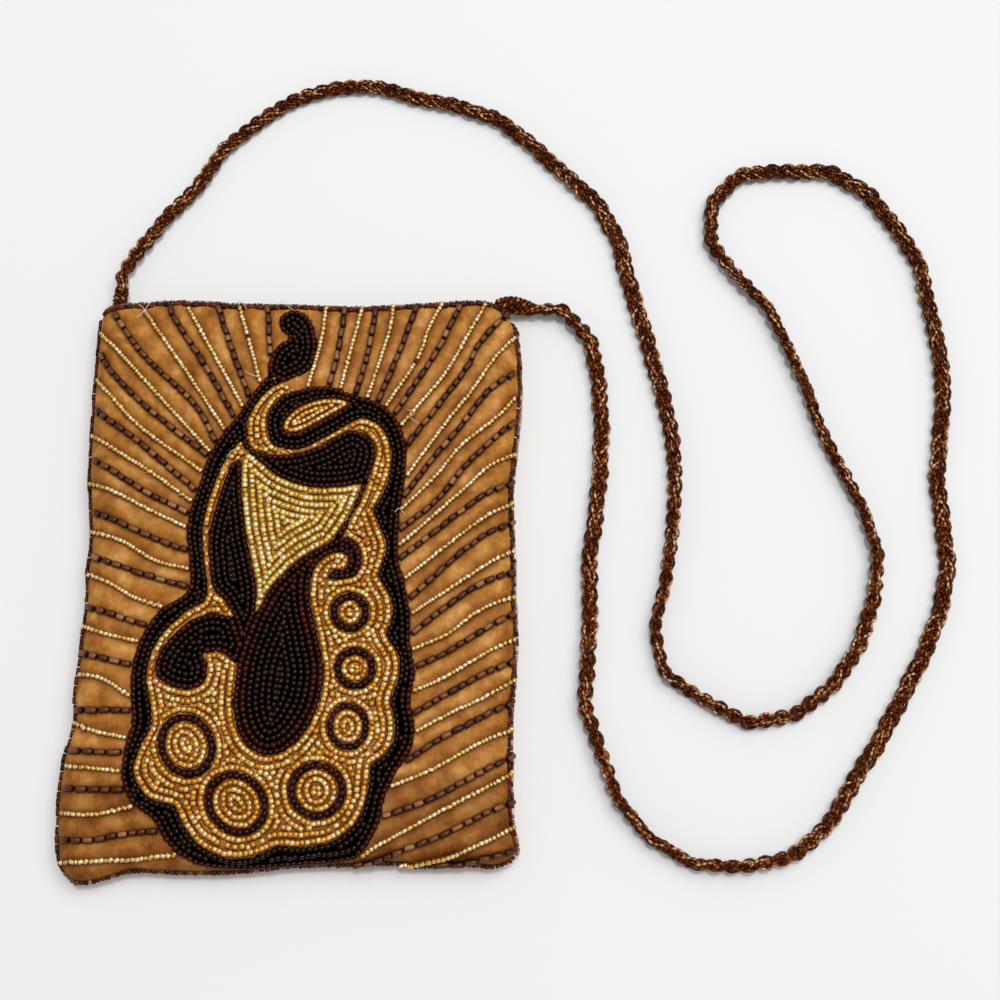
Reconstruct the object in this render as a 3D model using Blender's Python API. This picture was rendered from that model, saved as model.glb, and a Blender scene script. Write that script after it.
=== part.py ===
"""Beaded evening purse, lying on its back with its beaded front up and its mouth towards +Y.

The purse is flat: a back panel and a front panel, each of cloth, stiff interlining and lining, joined
by seams at the sides and the bottom. The front's margins roll down to the seams. Bead strings pipe the
four edges, more strings run as rays over the front, and the paisley drop is laid out in patches of
bead rows. Each patch is a low plate here, and the gold ground and the teardrop carry main rows as
ridges. A zip lies open inside the mouth, and a long braided strap of bead strings is sewn to the
mouth's two corners and lies in one loop beside the purse.

Lengths are in metres. The origin is under the middle of the purse, on the surface that it lies on.
"""

import math

import bmesh
import bpy
import numpy as np

# Overall size of the purse without its strap
WIDTH = 0.152
HEIGHT = 0.203

# Clearance between pieces that touch
GAP = 0.0003

# How near a cut or a merge takes two points for one
CUT_TOLERANCE = 1e-7
MERGE_TOLERANCE = 1e-6

# Layers of both panels
CLOTH = 0.0005
INTERLINING = 0.0006
LINING = 0.0003

# Rolled margins of the front: how wide they are and how far the edge drops
SIDE_MARGIN = 0.009
BOTTOM_MARGIN = 0.006
ROLL_DROP = 0.004

# Beadwork: diameters of the strings, height and rounding of the patches of bead rows
PIPING = 0.0017
RAY_STRING = 0.0014
RAY_CREST_SHARE = 0.6
RAY_SINK_SHARE = 0.85
BEAD_HEIGHT = 0.0015

# Main bead rows of the gold ground and the teardrop: their bed, ridges and places beside the edges
BEAD_BED = 0.0008
ROW_WIDTH = 0.0015
ROW_SINK = 0.0002
ROW_INSET = 0.0016
ROW_SPACING = 0.0042
ROW_COUNT = 3
ROW_STEP = 0.0005
ROW_TOLERANCE = 0.0003
ROW_SHORTEST = 0.0080
ROW_SHARPEST = math.radians(50)

# Zip
TOOTH_LENGTH = 0.0012
TOOTH_ROOT = 0.0007
TOOTH_TIP = 0.0004
TOOTH_DEPTH = 0.0012
TOOTH_PITCH = 0.0015
TOOTH_CORD = 0.0004
TAPE = 0.0003
TAPE_REACH = 0.0045
ZIP_RECESS = 0.0060
ZIP_CLOSED_END_INSET = 0.0090
STOP_LENGTH = 0.0018
SLIDER_LENGTH = 0.0070
SLIDER_PLATE = 0.0006
SLIDER_LIP = 0.0004
BRIDGE_WIDTH = 0.0005
BRIDGE_LENGTH = 0.0014
LUG_WIDTH = 0.0010
LUG_WALL = 0.0005
PULL_PIN = 0.0007
PULL_LENGTH = 0.0130
PULL_THICKNESS = 0.0008
PULL_ARM = 0.0010
PULL_HOLE = 0.0018

# Strap and the stitched knots at its ends
STRAP = 0.0050
KNOT_LENGTH = 0.0065
KNOT_DIAMETER = 0.0068
KNOT_END_SHARE = 0.72
KNOT_TOP_INSET = 0.0060
KNOT_SIDE_INSET = 0.0020
STRAP_SINK = 0.030
STRAP_POINT_COUNT = 76

# Counts
RAY_POINT_COUNT = 5
OUTLINE_STEPS = 2
TUBE_SIDE_STEPS = 2
ROLL_STATION_SHARES = (1.0, 0.7, 0.35, 0.0)

# Where the photograph was taken from: focal length in pixels, tilt from straight down, and the
# camera's place as shares of the purse's width and height, measured from the front's plane
PHOTO_CENTRE_PIXELS = (500, 500)
FOCAL_PIXELS = 1500
CAMERA_TILT = math.radians(15.7)
CAMERA_X_SHARE = 0.461
CAMERA_Y_SHARE = -0.580
CAMERA_UP_SHARE = 3.335
PHOTO_ASPECT_SHARE = 0.749

# Outlines of the drop, read from the photograph. Runs meet at corners and are smooth between them.
BAND_OUTER_PIXELS = [
    [(268, 376), (254, 392), (240, 413), (222, 435), (208, 458), (200, 482), (190, 512), (187, 535),
     (190, 568), (187, 592), (160, 611), (142, 636), (132, 668), (131, 703), (132, 722), (124, 752),
     (122, 778), (131, 802), (153, 820), (166, 842), (186, 860), (212, 867), (250, 868), (300, 864),
     (342, 861), (362, 853), (378, 826), (385, 798), (396, 774), (411, 750), (415, 728), (411, 702),
     (415, 672), (411, 645), (410, 612), (404, 580), (398, 555), (400, 515), (406, 474), (406, 444),
     (397, 420), (380, 404), (356, 396), (330, 387), (312, 388), (297, 391)],
]
BAND_INNER_PIXELS = [
    [(297, 391), (284, 396), (271, 410), (267, 424), (270, 440), (279, 448), (300, 450), (320, 441),
     (340, 430), (360, 420), (379, 426), (390, 445), (391, 466), (385, 489), (373, 511)],
    [(373, 511), (380, 528), (386, 548), (378, 576)],
    [(378, 576), (390, 598), (392, 616), (386, 635)],
    [(386, 635), (398, 656), (399, 674), (390, 702)],
    [(390, 702), (395, 727), (389, 750), (371, 765)],
    [(371, 765), (368, 790), (358, 820), (333, 841), (302, 847), (278, 846)],
    [(278, 846), (250, 857), (220, 856), (192, 838), (175, 806)],
    [(175, 806), (148, 797), (134, 773), (140, 749), (152, 725), (150, 700), (147, 675), (157, 643),
     (182, 616), (204, 603)],
    [(204, 603), (208, 590), (205, 560), (203, 530), (210, 499), (223, 467), (241, 441)],
    [(241, 441), (248, 438)],
    [(248, 438), (248, 422), (257, 404), (271, 389), (284, 383)],
]
BUD_PIXELS = [
    [(268, 376), (269, 362), (277, 348), (289, 339)],
    [(289, 339), (281, 330), (281, 317), (293, 311), (307, 316), (315, 331), (317, 350), (309, 371),
     (284, 383)],
    [(284, 383), (268, 376)],
]
HEAD_LEAF_PIXELS = [
    [(353, 404), (338, 400), (318, 401), (298, 409), (285, 422), (286, 432), (300, 432), (322, 421),
     (340, 411), (353, 404)],
]
CRESCENT_PIXELS = [
    [(248, 438), (251, 449), (265, 454), (292, 454), (318, 447), (342, 434), (358, 431), (372, 441),
     (376, 455), (369, 480)],
    [(369, 480), (362, 484)],
    [(362, 484), (340, 488), (310, 488), (280, 478), (262, 464), (247, 451), (241, 441)],
    [(241, 441), (248, 438)],
]
LINK_PIXELS = [
    [(369, 480), (362, 500), (352, 518), (344, 536)],
    [(344, 536), (331, 542)],
    [(331, 542), (344, 524), (354, 506), (362, 484)],
    [(362, 484), (369, 480)],
]
TRIANGLE_PIXELS = [
    [(243, 458), (242, 485), (246, 530), (252, 560), (257, 590), (256, 614)],
    [(256, 614), (273, 586), (300, 560), (331, 542)],
    [(331, 542), (344, 524), (354, 506), (362, 484)],
    [(362, 484), (340, 488), (310, 488), (280, 478), (262, 464), (250, 453)],
    [(250, 453), (243, 458)],
]
STEM_LEAF_PIXELS = [
    [(243, 458), (242, 485), (246, 530), (252, 560), (257, 590), (256, 614)],
    [(256, 614), (243, 645)],
    [(243, 645), (234, 617)],
    [(234, 617), (224, 600), (213, 588), (209, 560), (209, 535), (218, 500), (231, 464)],
    [(231, 464), (243, 458)],
]
CURL_PIXELS = [
    [(234, 617), (210, 614), (186, 624), (163, 648), (155, 670), (166, 684), (188, 690), (203, 684),
     (208, 668), (203, 654)],
    [(203, 654), (221, 653), (237, 665)],
    [(237, 665), (243, 645)],
    [(243, 645), (234, 617)],
]
TEARDROP_PIXELS = [
    [(237, 665), (243, 645)],
    [(243, 645), (256, 614)],
    [(256, 614), (273, 586), (300, 560), (331, 542)],
    [(331, 542), (344, 536)],
    [(344, 536), (357, 545), (362, 560), (354, 577), (327, 581)],
    [(327, 581), (331, 570)],
    [(331, 570), (344, 570), (349, 560), (340, 553), (322, 560), (312, 577), (311, 603), (319, 640),
     (324, 675), (316, 713), (294, 745), (266, 756), (243, 741), (233, 707), (237, 665)],
]
GROUND_PIXELS = BAND_INNER_PIXELS + [[(284, 383), (297, 391)]]

# Rings: centre, outer and inner half sizes across and along, in pixels, and turn in degrees
RING_PIXELS = [
    ((350, 613), (20, 20), (11, 12), 0),
    ((355, 669), (21, 21), (14, 13), 0),
    ((348, 727), (21, 24), (15, 17), 0),
    ((317, 791), (29, 29), (21, 22), 0),
    ((237, 804), (30, 34), (23, 26), -40),
    ((187, 746), (29, 33), (21, 24), -20),
]
RING_SIDES = 18

# Rays of tube beads and of gold beads, from the edge inwards
DARK_RAY_PIXELS = [
    [(268, 306), (271, 355)],
    [(219, 307), (231, 346), (250, 399)],
    [(170, 307), (178, 324), (209, 372), (235, 418)],
    [(115, 314), (144, 356), (195, 405), (216, 442)],
    [(101, 353), (117, 378), (153, 413), (210, 458)],
    [(97, 409), (111, 422), (141, 444), (193, 488)],
    [(94, 459), (111, 470), (149, 494), (187, 513)],
    [(94, 511), (120, 523), (160, 541), (187, 551)],
    [(92, 556), (127, 569), (157, 579), (190, 588)],
    [(86, 606), (111, 614), (144, 625)],
    [(80, 652), (105, 659), (131, 665)],
    [(75, 710), (131, 711)],
    [(69, 751), (120, 753)],
    [(65, 789), (118, 790)],
    [(62, 840), (94, 840), (127, 834), (159, 831)],
    [(346, 308), (338, 355), (330, 386)],
    [(377, 308), (368, 355), (356, 396)],
    [(418, 306), (399, 355), (379, 401)],
    [(461, 306), (449, 330), (434, 358), (394, 416)],
    [(508, 312), (479, 346), (462, 376), (409, 444)],
    [(514, 372), (487, 394), (462, 426), (434, 459), (399, 504)],
    [(514, 421), (487, 446), (462, 471), (437, 501), (401, 530)],
    [(514, 480), (487, 494), (462, 512), (402, 558)],
    [(514, 520), (479, 540), (451, 562), (410, 599)],
    [(514, 570), (475, 588), (443, 610), (410, 636)],
    [(514, 612), (475, 636), (443, 655), (414, 668)],
    [(514, 660), (475, 679), (443, 697), (414, 714)],
    [(514, 700), (475, 721), (443, 738), (408, 760)],
    [(514, 754), (469, 779), (432, 799), (380, 818)],
    [(514, 800), (469, 822), (432, 840), (378, 858)],
    [(514, 850), (486, 857), (460, 862)],
]
GOLD_RAY_PIXELS = [
    [(240, 308), (252, 350), (261, 384)],
    [(189, 309), (209, 345), (243, 407)],
    [(145, 312), (184, 368), (227, 433)],
    [(101, 332), (120, 353), (156, 393), (212, 454)],
    [(97, 378), (109, 393), (141, 428), (201, 471)],
    [(92, 434), (115, 450), (156, 476), (192, 502)],
    [(90, 482), (118, 494), (149, 510), (187, 528)],
    [(90, 530), (125, 543), (157, 562), (186, 569)],
    [(88, 573), (111, 584), (135, 598), (161, 607)],
    [(82, 625), (105, 634), (140, 642)],
    [(79, 674), (103, 679), (127, 694)],
    [(74, 722), (94, 731), (127, 738)],
    [(66, 766), (118, 771)],
    [(61, 813), (94, 815), (127, 808)],
    [(60, 862), (83, 862), (116, 860), (179, 855)],
    [(327, 308), (321, 346), (310, 383)],
    [(363, 308), (355, 338), (341, 390)],
    [(394, 306), (389, 335), (368, 398)],
    [(443, 304), (429, 330), (418, 360), (386, 407)],
    [(486, 305), (467, 338), (446, 374), (413, 413)],
    [(514, 336), (492, 363), (471, 393), (446, 424), (409, 474)],
    [(514, 397), (496, 419), (462, 446), (437, 476), (402, 510)],
    [(514, 452), (487, 469), (462, 492), (402, 544)],
    [(514, 500), (487, 517), (459, 537), (404, 580)],
    [(514, 548), (464, 580), (412, 614)],
    [(514, 595), (475, 614), (449, 634), (413, 650)],
    [(514, 638), (475, 660), (443, 679), (412, 692)],
    [(514, 678), (486, 697), (454, 712), (414, 733)],
    [(514, 727), (475, 746), (432, 770), (388, 788)],
    [(514, 770), (486, 788), (453, 805), (378, 846)],
    [(514, 826), (486, 842), (453, 855), (425, 861)],
]

# The strap's route from the left corner of the mouth to the right one
STRAP_PIXELS = [
    (126, 281), (148, 240), (185, 200), (205, 180), (215, 160), (232, 143), (280, 107), (310, 95),
    (335, 88), (360, 85), (390, 90), (440, 106), (465, 108), (498, 120), (540, 153), (578, 188),
    (597, 204), (616, 234), (629, 284), (645, 335), (655, 370), (671, 430), (674, 470), (674, 510),
    (666, 580), (657, 603), (654, 629), (654, 654), (662, 672), (695, 695), (739, 721), (759, 724),
    (779, 721), (802, 711), (841, 677), (864, 634), (876, 588), (879, 568), (870, 525), (830, 450),
    (816, 420), (810, 398), (783, 339), (759, 295), (724, 267), (709, 238), (711, 207), (718, 193),
    (742, 174), (764, 173), (819, 172), (840, 176), (859, 186), (893, 226), (921, 270), (929, 315),
    (940, 357), (943, 398), (938, 460), (937, 490), (943, 525), (948, 567), (941, 608), (927, 647),
    (904, 693), (879, 741), (853, 782), (830, 823), (812, 841), (777, 865), (736, 867), (698, 866),
    (662, 846), (639, 830), (616, 797), (603, 759), (584, 703), (585, 672), (591, 636), (589, 560),
    (598, 500), (602, 430), (598, 375), (592, 345), (580, 319), (556, 309), (535, 304),
]

# Levels of the layers
BACK_INTERLINING_Z = CLOTH + GAP
BACK_LINING_Z = BACK_INTERLINING_Z + INTERLINING + GAP
POCKET_Z = BACK_LINING_Z + LINING
TOOTH_TOP = BRIDGE_WIDTH / 2 + GAP + TOOTH_LENGTH
SLIDER_HALF = TOOTH_TOP + GAP + SLIDER_LIP
POCKET_HALF = SLIDER_HALF + GAP + TAPE + GAP
ZIP_Z = POCKET_Z + POCKET_HALF
FRONT_LINING_Z = ZIP_Z + POCKET_HALF
FRONT_INTERLINING_Z = FRONT_LINING_Z + LINING + GAP
FRONT_CLOTH_Z = FRONT_INTERLINING_Z + INTERLINING + GAP
FRONT_Z = FRONT_CLOTH_Z + CLOTH

# Half sizes of the panels inside the piping, and of the flat layers inside the rolled margins
PANEL_X = WIDTH / 2 - PIPING - GAP
PANEL_Y = HEIGHT / 2 - PIPING - GAP
FLAT_X = PANEL_X - SIDE_MARGIN
LAYER_X = FLAT_X - GAP
FLAT_BOTTOM = BOTTOM_MARGIN - PANEL_Y
LAYER_BOTTOM = FLAT_BOTTOM + GAP
PIPING_Z = FRONT_Z - ROLL_DROP - CLOTH / 2

# The zip's place: teeth run from the open end, at the left, to the bottom stop, at the right
ZIP_Y = PANEL_Y - ZIP_RECESS
TAPE_X = LAYER_X
ZIP_RIGHT = TAPE_X - STOP_LENGTH
ZIP_LEFT = ZIP_CLOSED_END_INSET - TAPE_X
SLIDER_X = ZIP_RIGHT - GAP - SLIDER_LENGTH / 2
CHANNEL_Y = TOOTH_DEPTH / 2 + GAP
SLOT_Y = TAPE / 2 + GAP
SLIDER_Y = CHANNEL_Y + SLIDER_PLATE
PIN_Y = ZIP_Y + SLIDER_Y + GAP + max(PULL_THICKNESS, PULL_PIN) / 2
LUG_HOLE = PULL_PIN / 2 + GAP

ROUND_ANGLES = np.arange(12) * math.pi / 6

materials = {}


def clear_scene():
    """Removes what a new file holds."""
    for thing in list(bpy.data.objects):
        bpy.data.objects.remove(thing, do_unlink=True)


def material(name, colour, roughness, metallic=0.0):
    """Returns the Principled material of this name, made the first time."""
    if name not in materials:
        made = bpy.data.materials.new(name)
        made.use_nodes = True
        shader = made.node_tree.nodes["Principled BSDF"]
        shader.inputs["Base Color"].default_value = (*colour, 1.0)
        shader.inputs["Roughness"].default_value = roughness
        shader.inputs["Metallic"].default_value = metallic
        materials[name] = made
    return materials[name]


def satin():
    return material("satin", (0.48, 0.24, 0.08), 0.45)


def canvas():
    return material("canvas", (0.62, 0.56, 0.44), 0.9)


def lining_cloth():
    return material("lining_cloth", (0.80, 0.72, 0.58), 0.7)


def brown_beads():
    return material("brown_beads", (0.07, 0.02, 0.012), 0.2)


def black_beads():
    return material("black_beads", (0.006, 0.004, 0.003), 0.15)


def gold_beads():
    return material("gold_beads", (0.72, 0.45, 0.10), 0.25)


def copper_beads():
    return material("copper_beads", (0.20, 0.06, 0.015), 0.2)


def tape_cloth():
    return material("tape_cloth", (0.30, 0.16, 0.07), 0.85)


def brass():
    return material("brass", (0.62, 0.42, 0.16), 0.3, 1.0)


def add_object(name, mesh, surface):
    """Links a mesh to the scene as a sub-part with its material."""
    made = bpy.data.objects.new(name, mesh)
    mesh.materials.append(surface)
    bpy.context.scene.collection.objects.link(made)
    return made


def finish_mesh(bm, name):
    """Turns a bmesh into a mesh with its faces pointing out."""
    bmesh.ops.recalc_face_normals(bm, faces=bm.faces)
    mesh = bpy.data.meshes.new(name)
    bm.to_mesh(mesh)
    bm.free()
    return mesh


def drawn(loops, reach):
    """Returns a bmesh of the flat area inside the loops, drawn out by a vector. Inner loops are holes."""
    bm = bmesh.new()
    for loop in loops:
        verts = [bm.verts.new(place) for place in loop]
        for start, end in zip(verts, verts[1:] + verts[:1]):
            bm.edges.new((start, end))
    bmesh.ops.triangle_fill(bm, edges=bm.edges[:], use_beauty=True)
    raised = bmesh.ops.extrude_face_region(bm, geom=bm.faces[:])
    lifted = [item for item in raised["geom"] if isinstance(item, bmesh.types.BMVert)]
    bmesh.ops.translate(bm, verts=lifted, vec=reach)
    return bm


def fuse(piece, meshes):
    """Joins closed meshes to a piece with Boolean unions."""
    for number, mesh in enumerate(meshes):
        part = bpy.data.objects.new(f"{piece.name}_part_{number}", mesh)
        bpy.context.scene.collection.objects.link(part)
        part.location = piece.location
        part.hide_render = True
        part.display_type = "WIRE"
        union = piece.modifiers.new(part.name, "BOOLEAN")
        union.operation = "UNION"
        union.solver = "EXACT"
        union.object = part


# Places on the front, and lines through points


def photo_point(pixel, drop=0.0):
    """Returns the place (x, y) of a pixel on the front's plane, or that far below it.

    The line of sight through the pixel is followed down to the plane, in shares of the width.
    """
    across = (pixel[0] - PHOTO_CENTRE_PIXELS[0]) / FOCAL_PIXELS
    up = (PHOTO_CENTRE_PIXELS[1] - pixel[1]) / FOCAL_PIXELS
    reach = (CAMERA_UP_SHARE + drop / WIDTH) / (math.cos(CAMERA_TILT) - up * math.sin(CAMERA_TILT))
    forward = (math.sin(CAMERA_TILT) + up * math.cos(CAMERA_TILT)) * reach * PHOTO_ASPECT_SHARE
    return (CAMERA_X_SHARE + across * reach) * WIDTH, (CAMERA_Y_SHARE + forward) * HEIGHT


def smooth_line(points, steps):
    """Returns a Catmull-Rom curve through the points, with this many steps between each two."""
    points = np.asarray(points, float)
    ends = np.vstack((2 * points[0] - points[1], points, 2 * points[-1] - points[-2]))
    line = []
    for before, start, end, after in zip(ends, ends[1:], ends[2:], ends[3:]):
        for t in np.arange(steps) / steps:
            line.append(0.5 * (2 * start + (end - before) * t
                               + (2 * before - 5 * start + 4 * end - after) * t ** 2
                               + (3 * start - before - 3 * end + after) * t ** 3))
    line.append(points[-1])
    return np.array(line)


def resample(line, count):
    """Returns this many points at even distances along the line."""
    steps = np.linalg.norm(np.diff(line, axis=0), axis=1)
    along = np.concatenate(([0.0], np.cumsum(steps)))
    places = np.linspace(0.0, along[-1], count)
    return np.stack([np.interp(places, along, column) for column in line.T], axis=1)


def outline(runs):
    """Returns the loop of an outline given as runs of pixels, as places on the front."""
    loop = []
    for run in runs:
        line = smooth_line([photo_point(pixel) for pixel in run], OUTLINE_STEPS if len(run) > 2 else 1)
        loop.extend(line[:-1])
    return np.array(loop)


def ellipse(centre, half_sizes, turn):
    """Returns the loop of a turned ellipse given in pixels, as places on the front."""
    angles = np.arange(RING_SIDES) * 2 * math.pi / RING_SIDES
    across, along = half_sizes[0] * np.cos(angles), half_sizes[1] * np.sin(angles)
    cos, sin = math.cos(math.radians(turn)), math.sin(math.radians(turn))
    pixels = np.stack((centre[0] + across * cos - along * sin, centre[1] + across * sin + along * cos), 1)
    return np.array([photo_point(pixel) for pixel in pixels])


def area(loop):
    """Returns the signed area of a loop, positive where it runs anticlockwise."""
    x, y = loop.T
    return 0.5 * np.sum(x * np.roll(y, -1) - y * np.roll(x, -1))


def shrunk(loop, inset):
    """Returns the loop drawn in by the inset, each point moved along the mean of its edges' normals."""
    loop = loop if area(loop) > 0 else loop[::-1]
    edge = np.roll(loop, -1, axis=0) - loop
    edge /= np.linalg.norm(edge, axis=1, keepdims=True)
    normal = np.stack((-edge[:, 1], edge[:, 0]), axis=1)
    mean = normal + np.roll(normal, 1, axis=0)
    mean /= np.maximum(np.linalg.norm(mean, axis=1, keepdims=True), 0.6)
    stretch = np.maximum(np.sum(mean * normal, axis=1, keepdims=True), 0.4)
    return loop + mean * inset / stretch


def distance_to(point, loop):
    """Returns the distance from a point to a loop, negative inside it."""
    start, end = loop, np.roll(loop, -1, axis=0)
    edge = end - start
    share = np.clip(np.sum((point - start) * edge, axis=1) / np.sum(edge * edge, axis=1), 0, 1)
    nearest = np.linalg.norm(start + edge * share[:, None] - point, axis=1).min()
    above = (start[:, 1] > point[1]) != (end[:, 1] > point[1])
    rise = np.where(edge[:, 1] == 0, 1, edge[:, 1])
    crossing = start[:, 0] + (point[1] - start[:, 1]) / rise * edge[:, 0]
    inside = np.count_nonzero(above & (crossing > point[0])) % 2
    return -nearest if inside else nearest


def roll(x, y):
    """Returns how far the front has dropped at a place, from 0 on its flat middle to ROLL_DROP."""
    side = min(max((abs(x) - FLAT_X) / SIDE_MARGIN, 0.0), 1.0)
    bottom = min(max((FLAT_BOTTOM - y) / BOTTOM_MARGIN, 0.0), 1.0)
    return ROLL_DROP * (1 - (1 - side ** 2) * (1 - bottom ** 2))


def side_stations(sign):
    """Returns the x places where the front bends at one side, from the middle outwards."""
    return [sign * (FLAT_X + share * SIDE_MARGIN) for share in reversed(ROLL_STATION_SHARES)]


def bottom_stations():
    """Returns the y places where the front bends at the bottom, from the edge upwards."""
    return [FLAT_BOTTOM - share * BOTTOM_MARGIN for share in ROLL_STATION_SHARES]


# Panels, seams and piping


def slab(name, xs, ys, low, high, surface):
    """Makes a slab on a grid of stations. low and high give its two faces at (x, y)."""
    bm = bmesh.new()
    faces = []
    for level in (low, high):
        faces.append([[bm.verts.new((x, y, level(x, y))) for y in ys] for x in xs])
    under, over = faces
    for i in range(len(xs) - 1):
        for j in range(len(ys) - 1):
            bm.faces.new((over[i][j], over[i + 1][j], over[i + 1][j + 1], over[i][j + 1]))
            bm.faces.new((under[i][j], under[i][j + 1], under[i + 1][j + 1], under[i + 1][j]))
    for i in range(len(xs) - 1):
        for j in (0, len(ys) - 1):
            bm.faces.new((under[i][j], under[i + 1][j], over[i + 1][j], over[i][j]))
    for j in range(len(ys) - 1):
        for i in (0, len(xs) - 1):
            bm.faces.new((under[i][j], under[i][j + 1], over[i][j + 1], over[i][j]))
    return add_object(name, finish_mesh(bm, name), surface)


def flat_layer(name, z, thickness, surface):
    """Makes one flat layer inside the seams, up to the rim."""
    slab(name, [-LAYER_X, LAYER_X], [LAYER_BOTTOM, PANEL_Y],
         lambda x, y: z, lambda x, y: z + thickness, surface)


def make_panels():
    """Makes the three layers of the back and of the front, whose cloth carries the ray strings."""
    slab("back_cloth", [-PANEL_X, PANEL_X], [-PANEL_Y, PANEL_Y + PIPING + GAP],
         lambda x, y: 0.0, lambda x, y: CLOTH, satin())
    flat_layer("back_interlining", BACK_INTERLINING_Z, INTERLINING, canvas())
    flat_layer("back_lining", BACK_LINING_Z, LINING, lining_cloth())
    flat_layer("front_lining", FRONT_LINING_Z, LINING, lining_cloth())
    flat_layer("front_interlining", FRONT_INTERLINING_Z, INTERLINING, canvas())
    cloth = slab("front_cloth", side_stations(-1)[::-1] + side_stations(1), bottom_stations() + [PANEL_Y],
                 lambda x, y: FRONT_CLOTH_Z - roll(x, y), lambda x, y: FRONT_Z - roll(x, y), satin())
    fuse(cloth, [rays_mesh()])


def make_seams():
    """Makes the padded seams that fill the rolled margins between the two cloths."""
    def low(x, y):
        return CLOTH + GAP

    def high(x, y):
        return FRONT_CLOTH_Z - GAP - roll(x, y)

    slab("side_seam_left", side_stations(-1)[::-1], bottom_stations() + [PANEL_Y], low, high, canvas())
    slab("side_seam_right", side_stations(1), bottom_stations() + [PANEL_Y], low, high, canvas())
    slab("bottom_seam", [-LAYER_X, LAYER_X], bottom_stations(), low, high, canvas())


def tube(name, line, diameter, surface):
    """Makes a closed round tube along a line."""
    curve = bpy.data.curves.new(name, "CURVE")
    curve.dimensions = "3D"
    curve.bevel_depth = diameter / 2
    curve.bevel_resolution = TUBE_SIDE_STEPS
    curve.use_fill_caps = True
    spline = curve.splines.new("POLY")
    spline.points.add(len(line) - 1)
    for point, place in zip(spline.points, line):
        point.co = (*place, 1.0)
    spline.use_smooth = True
    made = bpy.data.objects.new(name, curve)
    curve.materials.append(surface)
    bpy.context.scene.collection.objects.link(made)


def make_piping():
    """Makes the four strings of tube beads along the edges, each just outside the front cloth's edge.

    The top string keeps to the flat of the rim, so nothing of it hangs into the mouth, and the side
    strings turn the top corners to meet it.
    """
    edge_x = PANEL_X + GAP + PIPING / 2
    edge_y = PANEL_Y + GAP + PIPING / 2
    top_z = FRONT_CLOTH_Z + CLOTH / 2
    end_y = edge_y - PIPING / 2 - GAP
    tube("piping_top", [(-FLAT_X, edge_y, top_z), (FLAT_X, edge_y, top_z)], PIPING, brown_beads())
    tube("piping_bottom", [(-PANEL_X, -edge_y, PIPING_Z), (PANEL_X, -edge_y, PIPING_Z)], PIPING,
         brown_beads())
    for name, sign in (("piping_left", -1), ("piping_right", 1)):
        turned = side_stations(sign)[::-1][1:-1] + [sign * (FLAT_X + GAP)]
        side = [(sign * edge_x, -end_y, PIPING_Z), (sign * edge_x, edge_y, PIPING_Z)]
        tube(name, side + [(x, edge_y, top_z - roll(x, 0.0)) for x in turned], PIPING, brown_beads())


# Beadwork on the front


def bend_over_front(bm):
    """Cuts a flat piece at the places where the front bends, and drops its points with the front."""
    cuts = [((x, 0.0, 0.0), (1.0, 0.0, 0.0)) for x in side_stations(-1) + side_stations(1)]
    cuts += [((0.0, y, 0.0), (0.0, 1.0, 0.0)) for y in bottom_stations()]
    for place, normal in cuts:
        bmesh.ops.bisect_plane(bm, geom=bm.verts[:] + bm.edges[:] + bm.faces[:], dist=CUT_TOLERANCE,
                               plane_co=place, plane_no=normal)
    for vert in bm.verts:
        vert.co.z -= roll(vert.co.x, vert.co.y)


def patch(name, loops, surface, height=BEAD_HEIGHT):
    """Makes a patch of bead rows on the front, from its outer loop and its holes."""
    low = FRONT_Z + GAP
    bm = drawn([[(x, y, low) for x, y in loop] for loop in loops], (0.0, 0.0, height))
    bend_over_front(bm)
    return add_object(name, finish_mesh(bm, name), surface)


def keep_on_panel(loop):
    """Returns the loop with its points held inside the front cloth's edges."""
    return np.clip(loop, (-PANEL_X, -PANEL_Y), (PANEL_X, PANEL_Y))


def make_drop():
    """Makes the paisley drop: its dark band and bud, its gold ground, and the figures inside it."""
    band = keep_on_panel(outline(BAND_OUTER_PIXELS + BAND_INNER_PIXELS))
    bud = outline(BUD_PIXELS)
    leaf = outline(HEAD_LEAF_PIXELS)
    figures = {
        "crescent": (outline(CRESCENT_PIXELS), black_beads()),
        "link_strip": (outline(LINK_PIXELS), brown_beads()),
        "gold_triangle": (outline(TRIANGLE_PIXELS), gold_beads()),
        "stem_leaf": (outline(STEM_LEAF_PIXELS), black_beads()),
        "left_curl": (outline(CURL_PIXELS), black_beads()),
        "teardrop": (outline(TEARDROP_PIXELS), black_beads()),
    }
    rings = [ellipse(centre, outer, turn) for centre, outer, _, turn in RING_PIXELS]
    centres = [ellipse(centre, inner, turn) for centre, _, inner, turn in RING_PIXELS]
    patch("paisley_band", [shrunk(band, GAP / 2), leaf], black_beads())
    patch("paisley_bud", [shrunk(bud, GAP / 2)], black_beads())
    patch("head_leaf", [shrunk(leaf, GAP)], gold_beads())
    ground_loop = outline(GROUND_PIXELS)
    ground = patch("gold_ground", [shrunk(ground_loop, GAP / 2)], gold_beads(), BEAD_BED)
    for name, (loop, surface) in figures.items():
        height = BEAD_BED if name == "teardrop" else BEAD_HEIGHT
        figure = patch(name, [shrunk(loop, GAP / 2)], surface, height)
        if name == "teardrop":
            fuse(figure, [rows_mesh(f"{name}_rows", loop, [], [])])
        cut_from(ground, f"{name}_cutter", loop)
    for number, (ring, centre) in enumerate(zip(rings, centres), 1):
        patch(f"ring_{number}", [shrunk(ring, GAP / 2), centre], brown_beads())
        patch(f"ring_centre_{number}", [shrunk(centre, GAP)], gold_beads())
        cut_from(ground, f"ring_{number}_cutter", ring)
    loops = [loop for loop, _ in figures.values()]
    fuse(ground, [rows_mesh("ground_rows", ground_loop, loops, rings)])


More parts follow.
